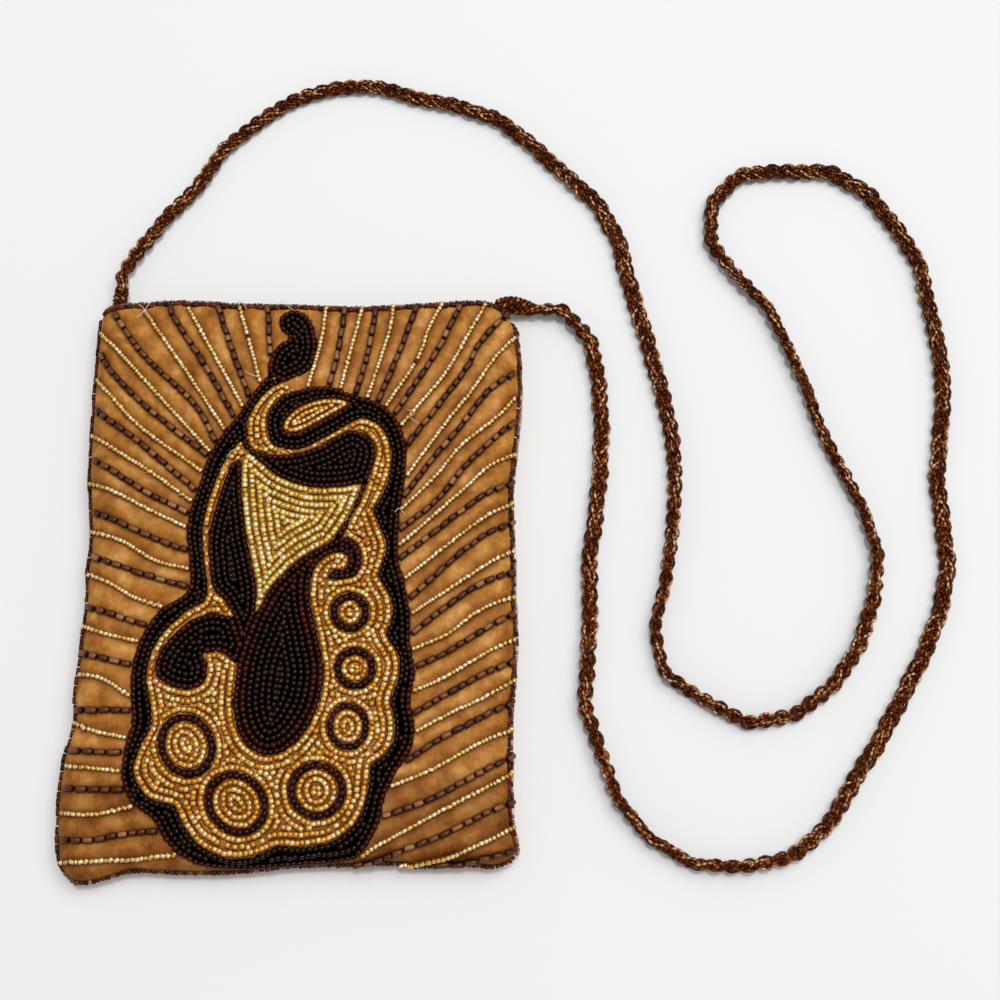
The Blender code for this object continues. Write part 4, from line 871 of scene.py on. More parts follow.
# %% Rings
for number in range(1, 7):
    outer, inner = loops[f"ring_{number}"], loops[f"ring_centre_{number}"]
    width = nearest(outer, inner).mean()
    rounds = max(int(round(width / (2.6 * MM))), 1)
    piles = []
    for round_number in range(rounds):
        line = outer + inner_ways(outer) * (round_number + 0.5) * width / rounds
        where, way = spaced(np.vstack((line, line[:1])), 2.2 * MM)
        piles.append(sewn_beads(where, way, 2.2 * MM, min(width / rounds, 2.5 * MM)))
    piece = bead_piece(f"ring_{number}_beads", piles, brown_glass)
    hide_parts(f"ring_{number}")
    gold_figure(f"ring_centre_{number}_beads", f"ring_centre_{number}",
                rows_inside(inner, 5, 2.35 * MM, GOLD_PITCH), 2.35 * MM)

# %% [markdown]
# ## The rays
#
# Dark rays are bugles, 3.5 mm tubes of clear brown glass: light enters them, so their crowns are paler
# than their rims and ends. Gold rays are small cut beads that twist on their thread, so each one
# leans its own way. Both are strings laid over the satin and caught down at their ends. Two gold rays
# have one dark bead each, and some thread tails stick out, as in the photograph.

# %% Bugle glass
bugle_glass, tree, shader = start_material("clear_brown_bugle_glass", Roughness=0.28, IOR=1.5,
                                           Specular_IOR_Level=0.25)
tint = add_node(tree, "ShaderNodeAttribute", attribute_name="tint")
crown = add_node(tree, "ShaderNodeAttribute", attribute_name="crown")
along = add_node(tree, "ShaderNodeAttribute", attribute_name="along")
body = add_node(tree, "ShaderNodeValToRGB", {"Fac": tint.outputs["Fac"]},
                [(0.0, "#4c220e"), (0.4, "#643416"), (0.8, "#824c26"), (1.0, "#a87048")])
# Painted light and shade: the crown is painted paler, and the rims and ends are painted dark brown.
end = add_node(tree, "ShaderNodeMath", {0: along.outputs["Fac"]}, operation="ABSOLUTE")
lit_middle = add_node(tree, "ShaderNodeMapRange", {"Value": end.outputs["Value"], "From Min": 0.92,
                                                 "From Max": 0.6}, interpolation_type="SMOOTHSTEP")
top = add_node(tree, "ShaderNodeMapRange", {"Value": crown.outputs["Fac"], "From Min": 0.25,
                                            "From Max": 0.9}, interpolation_type="SMOOTHSTEP")
lit = add_node(tree, "ShaderNodeMath", {0: lit_middle.outputs["Result"], 1: top.outputs["Result"]},
               operation="MULTIPLY")
shade = add_node(tree, "ShaderNodeMix", {"Factor": lit.outputs["Value"], "A": linear("#260a03"),
                                         "B": body.outputs["Color"]}, data_type="RGBA")
tree.links.new(shade.outputs[2], shader.inputs["Base Color"])
# Cut gold glass: the crown is painted as a glint, and the sides below it in painted mustard shade.
ray_gold_glass = bead_glass("cut_gold_glass",
                            [(0.010, "#2a0c04"), (0.015, "#c89a4a"), (0.3, "#e0ba6c"), (0.6, "#f0d090"),
                             (0.85, "#fae6b8"), (1.0, "#f0c49a")], "#8c5c14", 0.24,
                            metallic=0.35, crown_from=0.3, crown_to=0.95)


# %% Ray strings
def string_pile(line, pitch, diameter, shape, lean, spread):
    """Strings beads along a line on the front, each with its own length, lean and small shift.

    lean is in radians, and spread is a share of the pitch. The bead at an odd place gets tint 0, the
    others get more.
    """
    total = lengths_along(line)[-1]
    lengths = pitch * np.clip(chance.normal(1, spread, int(total / pitch) + 2), 0.5, 1.6)
    lengths = lengths[np.cumsum(lengths) < total + 0.3 * pitch]
    lengths = lengths * total / lengths.sum()
    middle = np.cumsum(lengths) - lengths / 2
    where = at_lengths(line, middle)
    way = unit(at_lengths(line, middle + 0.2 * pitch) - at_lengths(line, middle - 0.2 * pitch))
    count = len(where)
    way = turned(way, chance.normal(0, lean, count))
    where = where + np.stack((-way[:, 1], way[:, 0]), 1) * chance.normal(0, 0.06 * MM, (count, 1))
    lifted, normal = on_front(where, diameter * 0.44)
    gap = nearest(where, ODD_PLACES)
    tints = np.where(gap < min(gap.min() + 0.01 * MM, 1.5 * MM), 0.0, chance.uniform(0.03, 1, count))
    return lay_beads(shape, lifted, on_slope(way, normal), normal, lengths * 0.93,
                     diameter * chance.normal(1, 0.05, count), tints)


ODD_PLACES = places([(249, 336), (417, 362)], FRONT_Z)
RAY_BUGLE_PITCH, RAY_BUGLE_WIDTH = 3.75 * MM, 2.25 * MM
RAY_CUT_PITCH, RAY_CUT_WIDTH = 1.6 * MM, 1.8 * MM
piles = [string_pile(line, RAY_BUGLE_PITCH, RAY_BUGLE_WIDTH, BUGLE, 0.07, 0.14) for line in dark_lines]
bead_piece("dark_ray_bugles", piles, bugle_glass)
piles = [string_pile(line, RAY_CUT_PITCH, RAY_CUT_WIDTH, CUT, 0.34, 0.18) for line in gold_lines]
bead_piece("gold_ray_beads", piles, ray_gold_glass)

# %% Thread tails
stitch_thread, tree, shader = start_material("cream_thread", Roughness=0.8, Sheen_Weight=0.2,
                                             Specular_IOR_Level=0.2)
place = add_node(tree, "ShaderNodeTexCoord")
fibres = add_node(tree, "ShaderNodeTexNoise", {"Vector": place.outputs["Object"], "Scale": 2500.0})
tones = add_node(tree, "ShaderNodeValToRGB", {"Fac": fibres.outputs["Fac"]},
                 [(0.3, "#c8b08c"), (0.7, "#f0e4cc")])
tree.links.new(tones.outputs["Color"], shader.inputs["Base Color"])

TAILS = [[(140, 306), (146, 312), (151, 320)], [(150, 305), (145, 313), (138, 319)],
         [(235, 306), (242, 304), (247, 310)], [(282, 302), (287, 307), (293, 311)],
         [(246, 373), (251, 376), (258, 378)], [(408, 411), (415, 414), (411, 419), (418, 424)],
         [(395, 513), (400, 510), (405, 516)], [(151, 602), (155, 607), (160, 603)],
         [(228, 458), (234, 452), (243, 451)]]
tail_piles = []
for tail in TAILS:
    line = even_line(smooth_line(places(tail, FRONT_Z), 8), 0.3 * MM)
    lifted, normal = on_front(line, 0)
    lifted = lifted + normal * (1.5 * MM + 0.7 * MM * np.sin(np.linspace(0.3, 3.0, len(line))))[:, None]
    ways = unit(np.gradient(lifted, axis=0))
    tail_piles.append(lay_beads(SMALL_SEED, lifted, ways, normal, 0.5 * MM, 0.3 * MM))
bead_piece("thread_tails", tail_piles, stitch_thread)

# %% [markdown]
# ## From a square to the purse's outline
#
# Cloth panels and edge strings need places on an outline that isn't a rectangle. The unit square is
# stretched between the four edge lines, and its corners are softened, so a square's side becomes an
# edge of the purse and an inset keeps to the same line further in.


# %% Square to purse
CORNER_RADIUS = 3.4 * MM


def spread(u, v, inset, top_inset):
    """Places points (u, v) of the unit square between the four edge lines moved inwards.

    In each corner, a square of the radius's size, with p and q from 0 to 1 towards the corner,
    becomes a rounded one: p sqrt(1 - q^2 / 2) and q sqrt(1 - p^2 / 2).
    """
    x, y = (u - 0.5) * WIDTH, (v - 0.5) * HEIGHT
    for _ in range(5):
        low_x, high_x = (np.interp(y, line[:, 1], line[:, 0]) for line in (left_line, right_line))
        x = low_x + inset + (high_x - low_x - 2 * inset) * u
        low_y, high_y = (np.interp(x, line[:, 0], line[:, 1]) for line in (bottom_line, top_line))
        y = low_y + inset + (high_y - low_y - inset - top_inset) * v
    p = np.clip((np.abs(u - 0.5) - 0.5) * WIDTH / CORNER_RADIUS + 1, 0, 1)
    q = np.clip((np.abs(v - 0.5) - 0.5) * HEIGHT / CORNER_RADIUS + 1, 0, 1)
    x = x + (p * np.sqrt(1 - q ** 2 / 2) - p) * CORNER_RADIUS * np.sign(u - 0.5)
    y = y + (q * np.sqrt(1 - p ** 2 / 2) - q) * CORNER_RADIUS * np.sign(v - 0.5)
    return x, y


def edge_line(side, inset, top_inset):
    """Returns one edge of the outline at an inset, as an even line."""
    t = np.linspace(0, 1, 400)
    u, v = {"left": (0 * t, t), "right": (0 * t + 1, t), "bottom": (t, 0 * t), "top": (t, 0 * t + 1)}[side]
    return even_line(np.stack(spread(u, v, inset, top_inset), axis=1))


# %% [markdown]
# ## Piping
#
# Dark strings edge the purse: one of bugles down the left seam, one of seed beads along the bottom,
# and two side by side, bugles inside and small beads outside, speckled with painted glints, down the
# right seam and along the mouth. They're what the eye reads as the outline, and they wander a little,
# as hand sewing does. Down both sides the cream sewing thread shows between some of the bugles.

# %% Edge strings
# Each glass's colour after its ramp is painted shade below the bead's crown; the palest tints of the
# speckled and seam glass are painted glints on a few beads.
glint_speck_glass = bead_glass("brown_glass_with_painted_glints", [(0.0, "#30140c"), (0.4, "#5c3426"), (0.75, "#8a6454"),
                                                  (0.93, "#b49484"), (1.0, "#ecdccc")], "#200a06", 0.22,
                         specular=0.3)
seam_glass = bead_glass("seam_brown_glass", [(0.0, "#240a06"), (0.6, "#4a2014"), (0.9, "#7a4a38"),
                                             (1.0, "#b48c78")], "#180604", 0.22, specular=0.3)
edge_glass = bead_glass("edge_bugle_glass", [(0.0, "#200805"), (0.6, "#42140c"), (1.0, "#64281a")],
                        "#120302", 0.22, specular=0.3)


def rim_string(name, side, inset, top_inset, pitch, diameter, shape, surface, up, rise, uneven,
               stitches=0.0):
    """Strings beads along one edge at an inset. On the three seams they lie at the piping's height,
    at the mouth on the front's rim. A slow wave and a random shift keep the string from being straight.
    """
    line = edge_line(side, inset, top_inset)
    line = line + 0.25 * MM * waves(line[:, 0], line[:, 1], 11 * MM, 9)[:, None] * inner_ways(line, 20)
    height = np.full(len(line), PIPING_Z)
    if side == "top":
        height = front_height(line[:, 0], line[:, 1], puff=False)
    line = np.column_stack((line, height + rise))
    total = lengths_along(line)[-1]
    lengths = pitch * np.clip(chance.normal(1, uneven, int(total / (0.75 * pitch))), 0.55, 1.6)
    lengths, ends, where, way = beads_along(line, lengths)
    where = where + chance.normal(0, 0.08 * MM, where.shape)
    ups = np.broadcast_to(unit(np.array(up, float)), where.shape)
    string = lay_beads(shape, where, way, ups, lengths * 0.94, diameter * chance.normal(1, 0.07, len(where)))
    piece = bead_piece(name, [string], surface)
    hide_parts(f"piping_{side}")
    if stitches:
        shown = chance.uniform(0, 1, len(where)) < stitches
        ends_at = at_lengths(line, ends)[shown]
        thread = lay_beads(SMALL_SEED, ends_at, way[shown], ups[shown], 0.55 * MM, diameter * 1.12)
        thread_piece = bead_piece(f"{name}_stitches", [thread], stitch_thread)
        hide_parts(f"piping_{side}")


rim_string("piping_left_bugles", "left", 0.9 * MM, 0.9 * MM, 2.9 * MM, 1.5 * MM, BUGLE, edge_glass,
           (-0.6, 0, 1), 0.0, 0.2, stitches=0.2)
rim_string("piping_right_specks", "right", 0.75 * MM, 0.9 * MM, 1.7 * MM, 1.1 * MM, CUT, glint_speck_glass,
           (0.6, 0, 1), 0.0, 0.2)
rim_string("piping_right_bugles", "right", 1.8 * MM, 1.6 * MM, 3.4 * MM, 1.4 * MM, BUGLE, edge_glass,
           (0.4, 0, 1), 0.8 * MM, 0.12, stitches=0.1)
rim_string("piping_bottom_specks", "bottom", 0.95 * MM, 0.9 * MM, 1.6 * MM, 1.85 * MM, SEED, seam_glass,
           (0, -0.6, 1), 0.0, 0.14)
rim_string("piping_top_specks", "top", 0.9 * MM, 0.7 * MM, 1.2 * MM, 1.3 * MM, SEED, glint_speck_glass,
           (0, 0.4, 1), -0.6 * MM, 0.14)
rim_string("piping_top_bugles", "top", 1.2 * MM, 2.0 * MM, 3.3 * MM, 2.0 * MM, BUGLE, edge_glass,
           (0, 0.2, 1), 0.2 * MM, 0.14)

# %% [markdown]
# ## Satin
#
# The cloth is a polyester satin: long floats of thread run up the purse, which gives it a soft sheen
# and fine upright streaks, and handling has mottled its caramel. The streaks are noise stretched
# sixteen times along the floats. Real satin threads are 0.1 mm wide, too fine to show, so the
# streaks are drawn 0.5 mm wide.


# %% Cloth materials
def woven(name, deep, middle, light, streak_size, roughness, sheen, bump, shade_pairs=(), crease_height=0.0,
          gloss=0.15):
    """Makes cloth: mottling between three colours, with stretched noise as thread streaks.

    The (attribute, colour) pairs of painted shade each multiply the cloth by their colour, as far as the
    attribute's value.
    Ridged noise makes creases of crease_height.
    """
    made, tree, shader = start_material(name, Roughness=roughness, Sheen_Weight=sheen, Sheen_Roughness=0.4,
                                        Sheen_Tint=linear("#ffcc99"), Specular_IOR_Level=gloss)
    place = add_node(tree, "ShaderNodeTexCoord")
    mottle = add_node(tree, "ShaderNodeTexNoise", {"Vector": place.outputs["Object"], "Scale": 120.0,
                                                   "Detail": 7.0, "Roughness": 0.66})
    tones = add_node(tree, "ShaderNodeValToRGB", {"Fac": mottle.outputs["Fac"]},
                     [(0.30, deep), (0.5, middle), (0.68, light)])
    scales = (1 / streak_size, 0.06 / streak_size, 1 / streak_size)
    stretch = add_node(tree, "ShaderNodeMapping", {"Vector": place.outputs["Object"], "Scale": scales})
    streak = add_node(tree, "ShaderNodeTexNoise", {"Vector": stretch.outputs["Vector"], "Scale": 1.0,
                                                   "Detail": 3.0, "Roughness": 0.6})
    streak_share = add_node(tree, "ShaderNodeMapRange", {"Value": streak.outputs["Fac"], "From Min": 0.3,
                                                         "From Max": 0.7, "To Min": 0.0, "To Max": 0.18})
    toned = add_node(tree, "ShaderNodeMix", {"Factor": streak_share.outputs["Result"],
                                             "A": tones.outputs["Color"], "B": linear(deep)},
                     data_type="RGBA", blend_type="MULTIPLY")
    colour = toned.outputs[2]
    for attribute, shade_tint in shade_pairs:
        amount = add_node(tree, "ShaderNodeAttribute", attribute_name=attribute)
        colour = add_node(tree, "ShaderNodeMix", {"Factor": amount.outputs["Fac"], "A": colour,
                                                  "B": linear(shade_tint)},
                          data_type="RGBA", blend_type="MULTIPLY").outputs[2]
    crease = add_node(tree, "ShaderNodeTexNoise", {"Vector": place.outputs["Object"], "Scale": 150.0,
                                                   "Detail": 3.0, "Roughness": 0.5, "Distortion": 0.5},
                      noise_type="RIDGED_MULTIFRACTAL")
    creased = add_node(tree, "ShaderNodeBump", {"Height": crease.outputs["Fac"], "Strength": bump,
                                                "Distance": crease_height})
    relief = add_node(tree, "ShaderNodeBump", {"Height": streak.outputs["Fac"], "Strength": bump,
                                               "Distance": 0.0002, "Normal": creased.outputs["Normal"]})
    tree.links.new(colour, shader.inputs["Base Color"])
    tree.links.new(relief.outputs["Normal"], shader.inputs["Normal"])
    return made


SATIN_TONES = ("#874b12", "#bb7a2f", "#e4aa5e")
# Painted shade on the satin: under the gold and the black beadwork, beside the bugle and gold rays, and low
# down and near the left edge.
PAINTED_SHADES = [("under_gold", "#80400a"), ("under_dark", "#080302"), ("beside_bugles", "#7a4418"),
          ("beside_gold", "#a8702a"), ("worn", "#d0c3ae")]
satin = woven("caramel_satin", *SATIN_TONES, 0.5 * MM, 0.5, 0.06, 0.5, PAINTED_SHADES, crease_height=0.0012)
# A copy of the satin without sheen or gloss for the faces under the black beads: painted shade, which takes
# their reflections away.
shaded_satin = woven("satin_in_painted_shade_under_black_beads", *SATIN_TONES, 0.5 * MM, 0.5, 0.0, 0.5, PAINTED_SHADES,
                      crease_height=0.0012, gloss=0.0)
lining = woven("pale_lining_taffeta", "#cdbb98", "#e2d4b8", "#efe5cf", 0.5 * MM, 0.5, 0.2, 0.2)
canvas = woven("stiff_canvas", "#b3a688", "#cdc2a6", "#ddd4bc", 0.6 * MM, 0.9, 0.1, 0.6)
tape_weave = woven("brown_zip_tape", "#4d2e17", "#6b4426", "#7d5534", 0.5 * MM, 0.8, 0.2, 0.7)


# %% Grid faces
def grid_faces(rows, columns, round_columns=False):
    """Returns the quads between the points of a grid, whose columns may close into a round."""
    i, j = np.meshgrid(np.arange(rows - 1), np.arange(columns if round_columns else columns - 1),
                       indexing="ij")
    following = (j + 1) % columns
    return np.stack((i * columns + j, i * columns + following, (i + 1) * columns + following,
                     (i + 1) * columns + j), axis=-1).reshape(-1, 4)


def thicken(piece, thickness):
    """Gives a sheet its thickness on its inner side, which closes it."""
    wall = piece.modifiers.new("thickness", "SOLIDIFY")
    wall.thickness = thickness
    wall.offset = -1.0


# %% [markdown]
# ## The two cloth panels
#
# Each panel is one sheet. The front rises from the piping, crosses the purse and turns over the
# mouth's rim to a facing inside. The back lies on the table, rises to the same piping at its edges
# like the side of a cushion, and turns over its own rim.


# %% Panels
def turned_rim(x, y, z, inner_z, radius, depth):
    """Returns the rows that turn a panel's top edge over its rim: half a circle, then a facing."""
    angle = np.linspace(0, math.pi, 7)[1:, None]
    middle = (z + inner_z) / 2
    half = (z - inner_z) / 2
    turn_y = y + radius * np.sin(angle)
    turn_z = middle + half * np.cos(angle)
    inside_y = y - depth * np.linspace(0.2, 1, 5)[:, None]
    return (np.vstack((np.broadcast_to(x, turn_y.shape), np.broadcast_to(x, inside_y.shape))),
            np.vstack((turn_y, inside_y)), np.vstack((turn_z, np.broadcast_to(inner_z, inside_y.shape))))


def grid_places(columns, rows, top_inset):
    """Spreads a grid of columns and rows over the outline, inside the seam."""
    u, v = np.meshgrid(np.linspace(0, 1, columns), np.linspace(0, 1, rows))
    return spread(u - 0.03 * np.sin(2 * math.pi * u), v, SEAM_INSET, top_inset)


CLOTH, RIM_RADIUS, RIM_FALL = 0.2 * MM, 0.7 * MM, 2.25 * MM
FRONT_FACING, BACK_FACING = 6 * MM, 8 * MM
COLUMNS, ROWS = 180, 232
BACK_COLUMNS, BACK_ROWS = 130, 170
x, y = grid_places(COLUMNS, ROWS, 2.0 * MM)
z = front_height(x, y)
inner_z = np.maximum(z[-1] - RIM_FALL, PIPING_Z - 0.3 * MM)
rim_x, rim_y, rim_z = turned_rim(x[-1], y[-1], z[-1], inner_z, RIM_RADIUS, FRONT_FACING)
points = np.stack((np.vstack((x, rim_x)), np.vstack((y, rim_y)), np.vstack((z, rim_z))), -1).reshape(-1, 3)
flat = points[:, :2]
on_top = np.arange(len(points)) < COLUMNS * ROWS
inside = {key: is_inside(flat, loop) & on_top for key, loop in loops.items()}
# Painted shade under the beadwork: under the black figures the satin is darkened almost to black, under the
# gold to deep amber.
dark = inside["bud"] | (inside["band"] & ~inside["ground"] & ~inside["head_leaf"])
for key in (*dark_names, *(f"ring_{n}" for n in range(1, 7))):
    dark |= inside[key] & (key != "triangle")
dark &= ~np.any([inside[f"ring_centre_{n}"] for n in range(1, 7)], axis=0)
gold = (inside["band"] | inside["bud"]) & ~dark
bugle_points = np.vstack(dark_lines)[::2]
# Painted shade beside the rays: the satin darkens within a millimetre or two of the bugle and gold strings.
beside = np.exp(-(nearest(flat, bugle_points) / (1.3 * MM)) ** 2) * on_top
beside_gold = np.exp(-(nearest(flat, np.vstack(gold_lines)[::2]) / (1.8 * MM)) ** 2) * on_top
# Painted shade: the satin is darkened over about the lowest 30 mm of the front and in a patch near its left
# edge.
low_part = np.clip((-66 * MM - flat[:, 1]) / (10 * MM), 0, 1)
left_part = np.exp(-((flat[:, 0] + 56 * MM) / (24 * MM)) ** 2 - ((flat[:, 1] - 25 * MM) / (14 * MM)) ** 2)
worn = low_part ** 2 * (3 - 2 * low_part) + 0.4 * left_part
front_faces = grid_faces(ROWS + len(rim_x), COLUMNS)
front = make_piece("front_satin", points, [front_faces], satin,
                   under_dark=dark, under_gold=gold, beside_bugles=0.8 * beside,
                   beside_gold=0.8 * beside_gold, worn=worn)
# Faces mostly under the black beads take the copy without sheen or gloss, as painted shade.
front.data.materials.append(shaded_satin)
front.data.polygons.foreach_set("material_index", (dark[front_faces].mean(axis=1) > 0.5).astype(np.int32))
thicken(front, CLOTH)
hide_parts("front_cloth")


def back_height(x, y):
    """Returns the back's height: a quarter ellipse from the table up to the piping, 1 - sqrt(1 - t^2)."""
    left, right, bottom, top = edge_distances(x, y)
    near = np.minimum(np.minimum(left, right), bottom) - SEAM_INSET
    share = np.clip(1 - near / (7 * MM), 0, 0.999)
    return 0.1 * MM + (PIPING_Z - 0.6 * MM) * (1 - np.sqrt(1 - share ** 2))


x, y = grid_places(BACK_COLUMNS, BACK_ROWS, 0.7 * MM)
z = back_height(x, y)
inner_z = np.maximum(np.minimum(z[-1] + RIM_FALL, PIPING_Z - 0.5 * MM), z[-1] + 0.3 * MM)
rim_x, rim_y, rim_z = turned_rim(x[-1], y[-1], z[-1], inner_z, RIM_RADIUS, BACK_FACING)
points = np.stack((np.vstack((x, rim_x)), np.vstack((y, rim_y)), np.vstack((z, rim_z))), -1)
back_faces = grid_faces(BACK_ROWS + len(rim_x), BACK_COLUMNS)[:, ::-1]
back = make_piece("back_satin", points.reshape(-1, 3), [back_faces], satin)
thicken(back, CLOTH)
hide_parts("back_cloth", "side_seam_left", "side_seam_right", "bottom_seam")


# %% [markdown]
# ## Lining and interlining
#
# Inside, a thin taffeta lining hangs from the facings with small slack folds, and stiff canvas keeps
# each panel flat. Only the mouth shows them.


# %% Inner layers
def inner_sheet(name, node, middle_z, surface, slack, thickness):
    """Makes a sheet inside the seams: its height is the layer's middle, plus slow waves of slack."""
    low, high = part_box(node)
    columns, rows = 60, 90
    gx, gy = np.meshgrid(np.linspace(low[0], high[0], columns),
                         np.linspace(low[1], high[1] - 1.2 * MM, rows))
    gz = middle_z + slack * waves(gx, gy * 0.3, 14 * MM, 8)
    made = make_piece(name, np.stack((gx, gy, gz), -1).reshape(-1, 3), [grid_faces(rows, columns)], surface)
    thicken(made, thickness)
    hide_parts(node)


for node, surface, slot_name, slack, thickness in (
        ("front_lining", lining, "lining_cloth", 0.06 * MM, 0.15 * MM),
        ("back_lining", lining, "lining_cloth", 0.06 * MM, 0.15 * MM),
        ("front_interlining", canvas, "canvas", 0.02 * MM, 0.5 * MM),
        ("back_interlining", canvas, "canvas", 0.02 * MM, 0.5 * MM)):
    low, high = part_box(node)
    inner_sheet(f"{node}_sheet", node, (low[2] + high[2] + thickness) / 2, surface, slack,
                thickness)

# %% [markdown]
# ## The strap's braid
#
# Three strands are plaited flat, and each strand is four strings of fine root-beer beads. One string
# of each strand is painted paler, a painted highlight that draws the slanting copper glints. In a plait
# each strand swings from side to side once a period, and over and under twice: across is A sin(f) and
# through is B sin(2 f), with the strands a third of a period apart. The limp braid turns over now and
# then, so some stretches show its face and some its edge, and it is pulled tighter near the left corner.

# %% Strap glass and braid
# Root-beer glass: the colour after the ramp is painted shade below each bead's crown.
strap_glass = bead_glass("root_beer_glass", [(0.0, "#340e03"), (0.35, "#5a1f08"), (0.6, "#8c4417"),
                                             (0.82, "#cc8850"), (1.0, "#f4c698")], "#3e1202", 0.22,
                         metallic=0.1, specular=0.3, crown_from=0.2, crown_to=0.95, glint="#ffb878")
BRAID_PERIOD, BRAID_SWING, BRAID_DEPTH = 16.8 * MM, 1.95 * MM, 0.85 * MM
STRING, STRAND_TWIST = 1.2 * MM, 22 * MM
STRAP_BEAD, STRAP_BEAD_SPREAD = 2.1 * MM, 0.16
STRAP_STEP, SMOOTHED = 0.4 * MM, 13
# Where the braid is turned: share of its length, degrees between its face and the table.
FACE_TURNS = [(0.0, 90), (0.03, 20), (0.08, 0), (0.16, 40), (0.2, 10), (0.27, 60), (0.33, 90), (0.4, 30),
              (0.44, 90), (0.5, 60), (0.54, 10), (0.62, 60), (0.68, 0), (0.76, 30), (0.83, 90), (0.9, 20),
              (0.96, 0), (1.0, 60)]
# How far its strands swing: share of its length, share of the full swing.
FULLNESS = [(0.0, 0.75), (0.14, 0.78), (0.2, 1.0), (0.38, 0.98), (0.45, 0.88), (0.72, 0.9), (1.0, 0.96)]

fine = at_lengths(strap_path, np.arange(0, STRAP_LENGTH, STRAP_STEP))
reach = np.arange(-8, 0)[:, None] * STRAP_STEP
fine = np.vstack((fine[0] + np.array((0, 1, 0)) * reach, fine,
                  fine[-1] + np.array((1, 0, 0)) * reach[::-1]))
fine = np.column_stack([np.convolve(np.pad(column, SMOOTHED // 2, "edge"), np.ones(SMOOTHED) / SMOOTHED,
                                    "valid") for column in fine.T])
along_fine = lengths_along(fine)
ahead = unit(np.gradient(fine, axis=0))
flat_side = unit(np.stack((-ahead[:, 1], ahead[:, 0], np.zeros(len(fine))), axis=1))
up_side = np.cross(ahead, flat_side)
face = np.radians(np.interp(along_fine / along_fine[-1], *np.array(FACE_TURNS).T))
fullness = np.interp(along_fine / along_fine[-1], *np.array(FULLNESS).T)
wide = flat_side * np.cos(face)[:, None] + up_side * np.sin(face)[:, None]
deep = np.cross(ahead, wide)
strand_radius = STRING * 1.12
half_height = (BRAID_SWING * np.abs(np.sin(face)) + BRAID_DEPTH * np.abs(np.cos(face))) + strand_radius
middle = fine.copy()
middle[:, 2] = np.maximum(fine[:, 2] - STRAP / 2, 0) + half_height + 0.2 * MM
for strand in range(3):
    phase = 2 * math.pi * (along_fine / BRAID_PERIOD + strand / 3)
    swing = BRAID_SWING * fullness * (1 + 0.1 * np.sin(along_fine / (31 * MM) + 2 * strand))
    core = (middle + wide * (swing * np.sin(phase))[:, None]
            + deep * (BRAID_DEPTH * np.sin(2 * phase))[:, None])
    strand_way = unit(np.gradient(core, axis=0))
    strand_side = unit(np.cross(deep, strand_way))
    strand_deep = np.cross(strand_way, strand_side)
    piles = []
    for partner in range(4):
        twist = 2 * math.pi * (along_fine / STRAND_TWIST + partner / 4) + strand
        swell = 0.5 + 0.22 * np.abs(np.sin(phase))
        line = core + (strand_side * np.cos(twist)[:, None]
                       + strand_deep * np.sin(twist)[:, None]) * (STRING * swell)[:, None]
        total = lengths_along(line)[-1]
        count = int(total / (1.5 * MM))
        lengths = STRAP_BEAD * np.clip(chance.normal(1, STRAP_BEAD_SPREAD, count), 0.6, 1.5)
        lengths, ends, where, way = beads_along(line, lengths)
        ups = np.broadcast_to((0.0, 0.05, 1.0), where.shape)
        # The first string of each strand takes the palest tints, a painted highlight for the copper glints.
        palest, deepest = (1, 0.72) if partner == 0 else (0.7, 0)
        tints = chance.uniform(deepest, palest, len(where))
        piles.append(lay_beads(SMALL_SEED, where, way, ups, lengths * 0.97, STRING, tints))
    bead_piece(f"strap_strand_{strand + 1}", piles, strap_glass)
    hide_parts("strap")


# %% [markdown]
# ## Sewn ends of the strap
#
# At each corner of the mouth the braid's strings are gathered, twisted together and sewn down, which
# leaves a thick lump.


# %% Sewn ends
def sewn_end(name, node, route, thin, swell, strings):
    """Twists strings of beads round a short route, on a tube whose radius is thin + swell sin(pi t)."""
    route = smooth_line(np.array(route), 12)
    total = lengths_along(route)[-1]
    t = np.linspace(0, 1, 200)
    core = at_lengths(route, t * total)
    way = unit(np.gradient(core, axis=0))
    side = unit(np.cross(way, (0.0, 0.0, 1.0)))
    over = np.cross(side, way)
    radius = (thin + swell * np.sin(math.pi * t) ** 0.8)[:, None]
    piles = []
    for string in range(strings):
        angle = 2 * math.pi * (string / strings + t * total / (12 * MM))
        outwards = side * np.cos(angle)[:, None] + over * np.sin(angle)[:, None] * 0.85
        line = core + outwards * radius
        line[:, 2] = np.maximum(line[:, 2], 0.7 * MM)
        at = np.arange(0.9 * MM, lengths_along(line)[-1] - 0.9 * MM, 2.0 * MM)
        where = at_lengths(line, at)
        way_there = unit(at_lengths(line, at + 0.5 * MM) - at_lengths(line, at - 0.5 * MM))
        ups = unit(where - at_lengths(core, at / lengths_along(line)[-1] * total))
        piles.append(lay_beads(SMALL_SEED, where, way_there, ups, 1.95 * MM, 1.5 * MM,
                               chance.uniform(0, 0.85, len(where))))
    heart = lay_beads(BUGLE, core[20:-20:6], way[20:-20:6], over[20:-20:6], total / 20,
                      2 * radius[20:-20:6, 0] - 0.7 * MM, tints=np.zeros(len(core[20:-20:6])))
    made = bead_piece(name, [*piles, heart], strap_glass)
    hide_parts(node)
    return made


left_end = sewn_end("strap_end_left", "strap_knot_left",
                    [(-0.0700, 0.0990, 0.0062), (-0.0700, 0.1040, 0.0046), (-0.0698, 0.1090, 0.0034)],
                    1.5 * MM, 0.6 * MM, 6)
right_end = sewn_end("strap_end_right", "strap_knot_right",
                     [(0.0690, 0.0995, 0.0080), (0.0735, 0.1005, 0.0066), (0.0786, 0.1003, 0.0046),
                      (0.0828, 0.0996, 0.0036)], 1.6 * MM, 1.2 * MM, 7)

# %% [markdown]
# ## The zip inside the mouth
#
# The photograph doesn't show how the purse closes, so a narrow zip set inside the rim is a fair guess.
# It lies open, and its brass slider waits at the bottom stop. Teeth are stamped brass, clamped one by
# one to the corded edge of a woven tape.

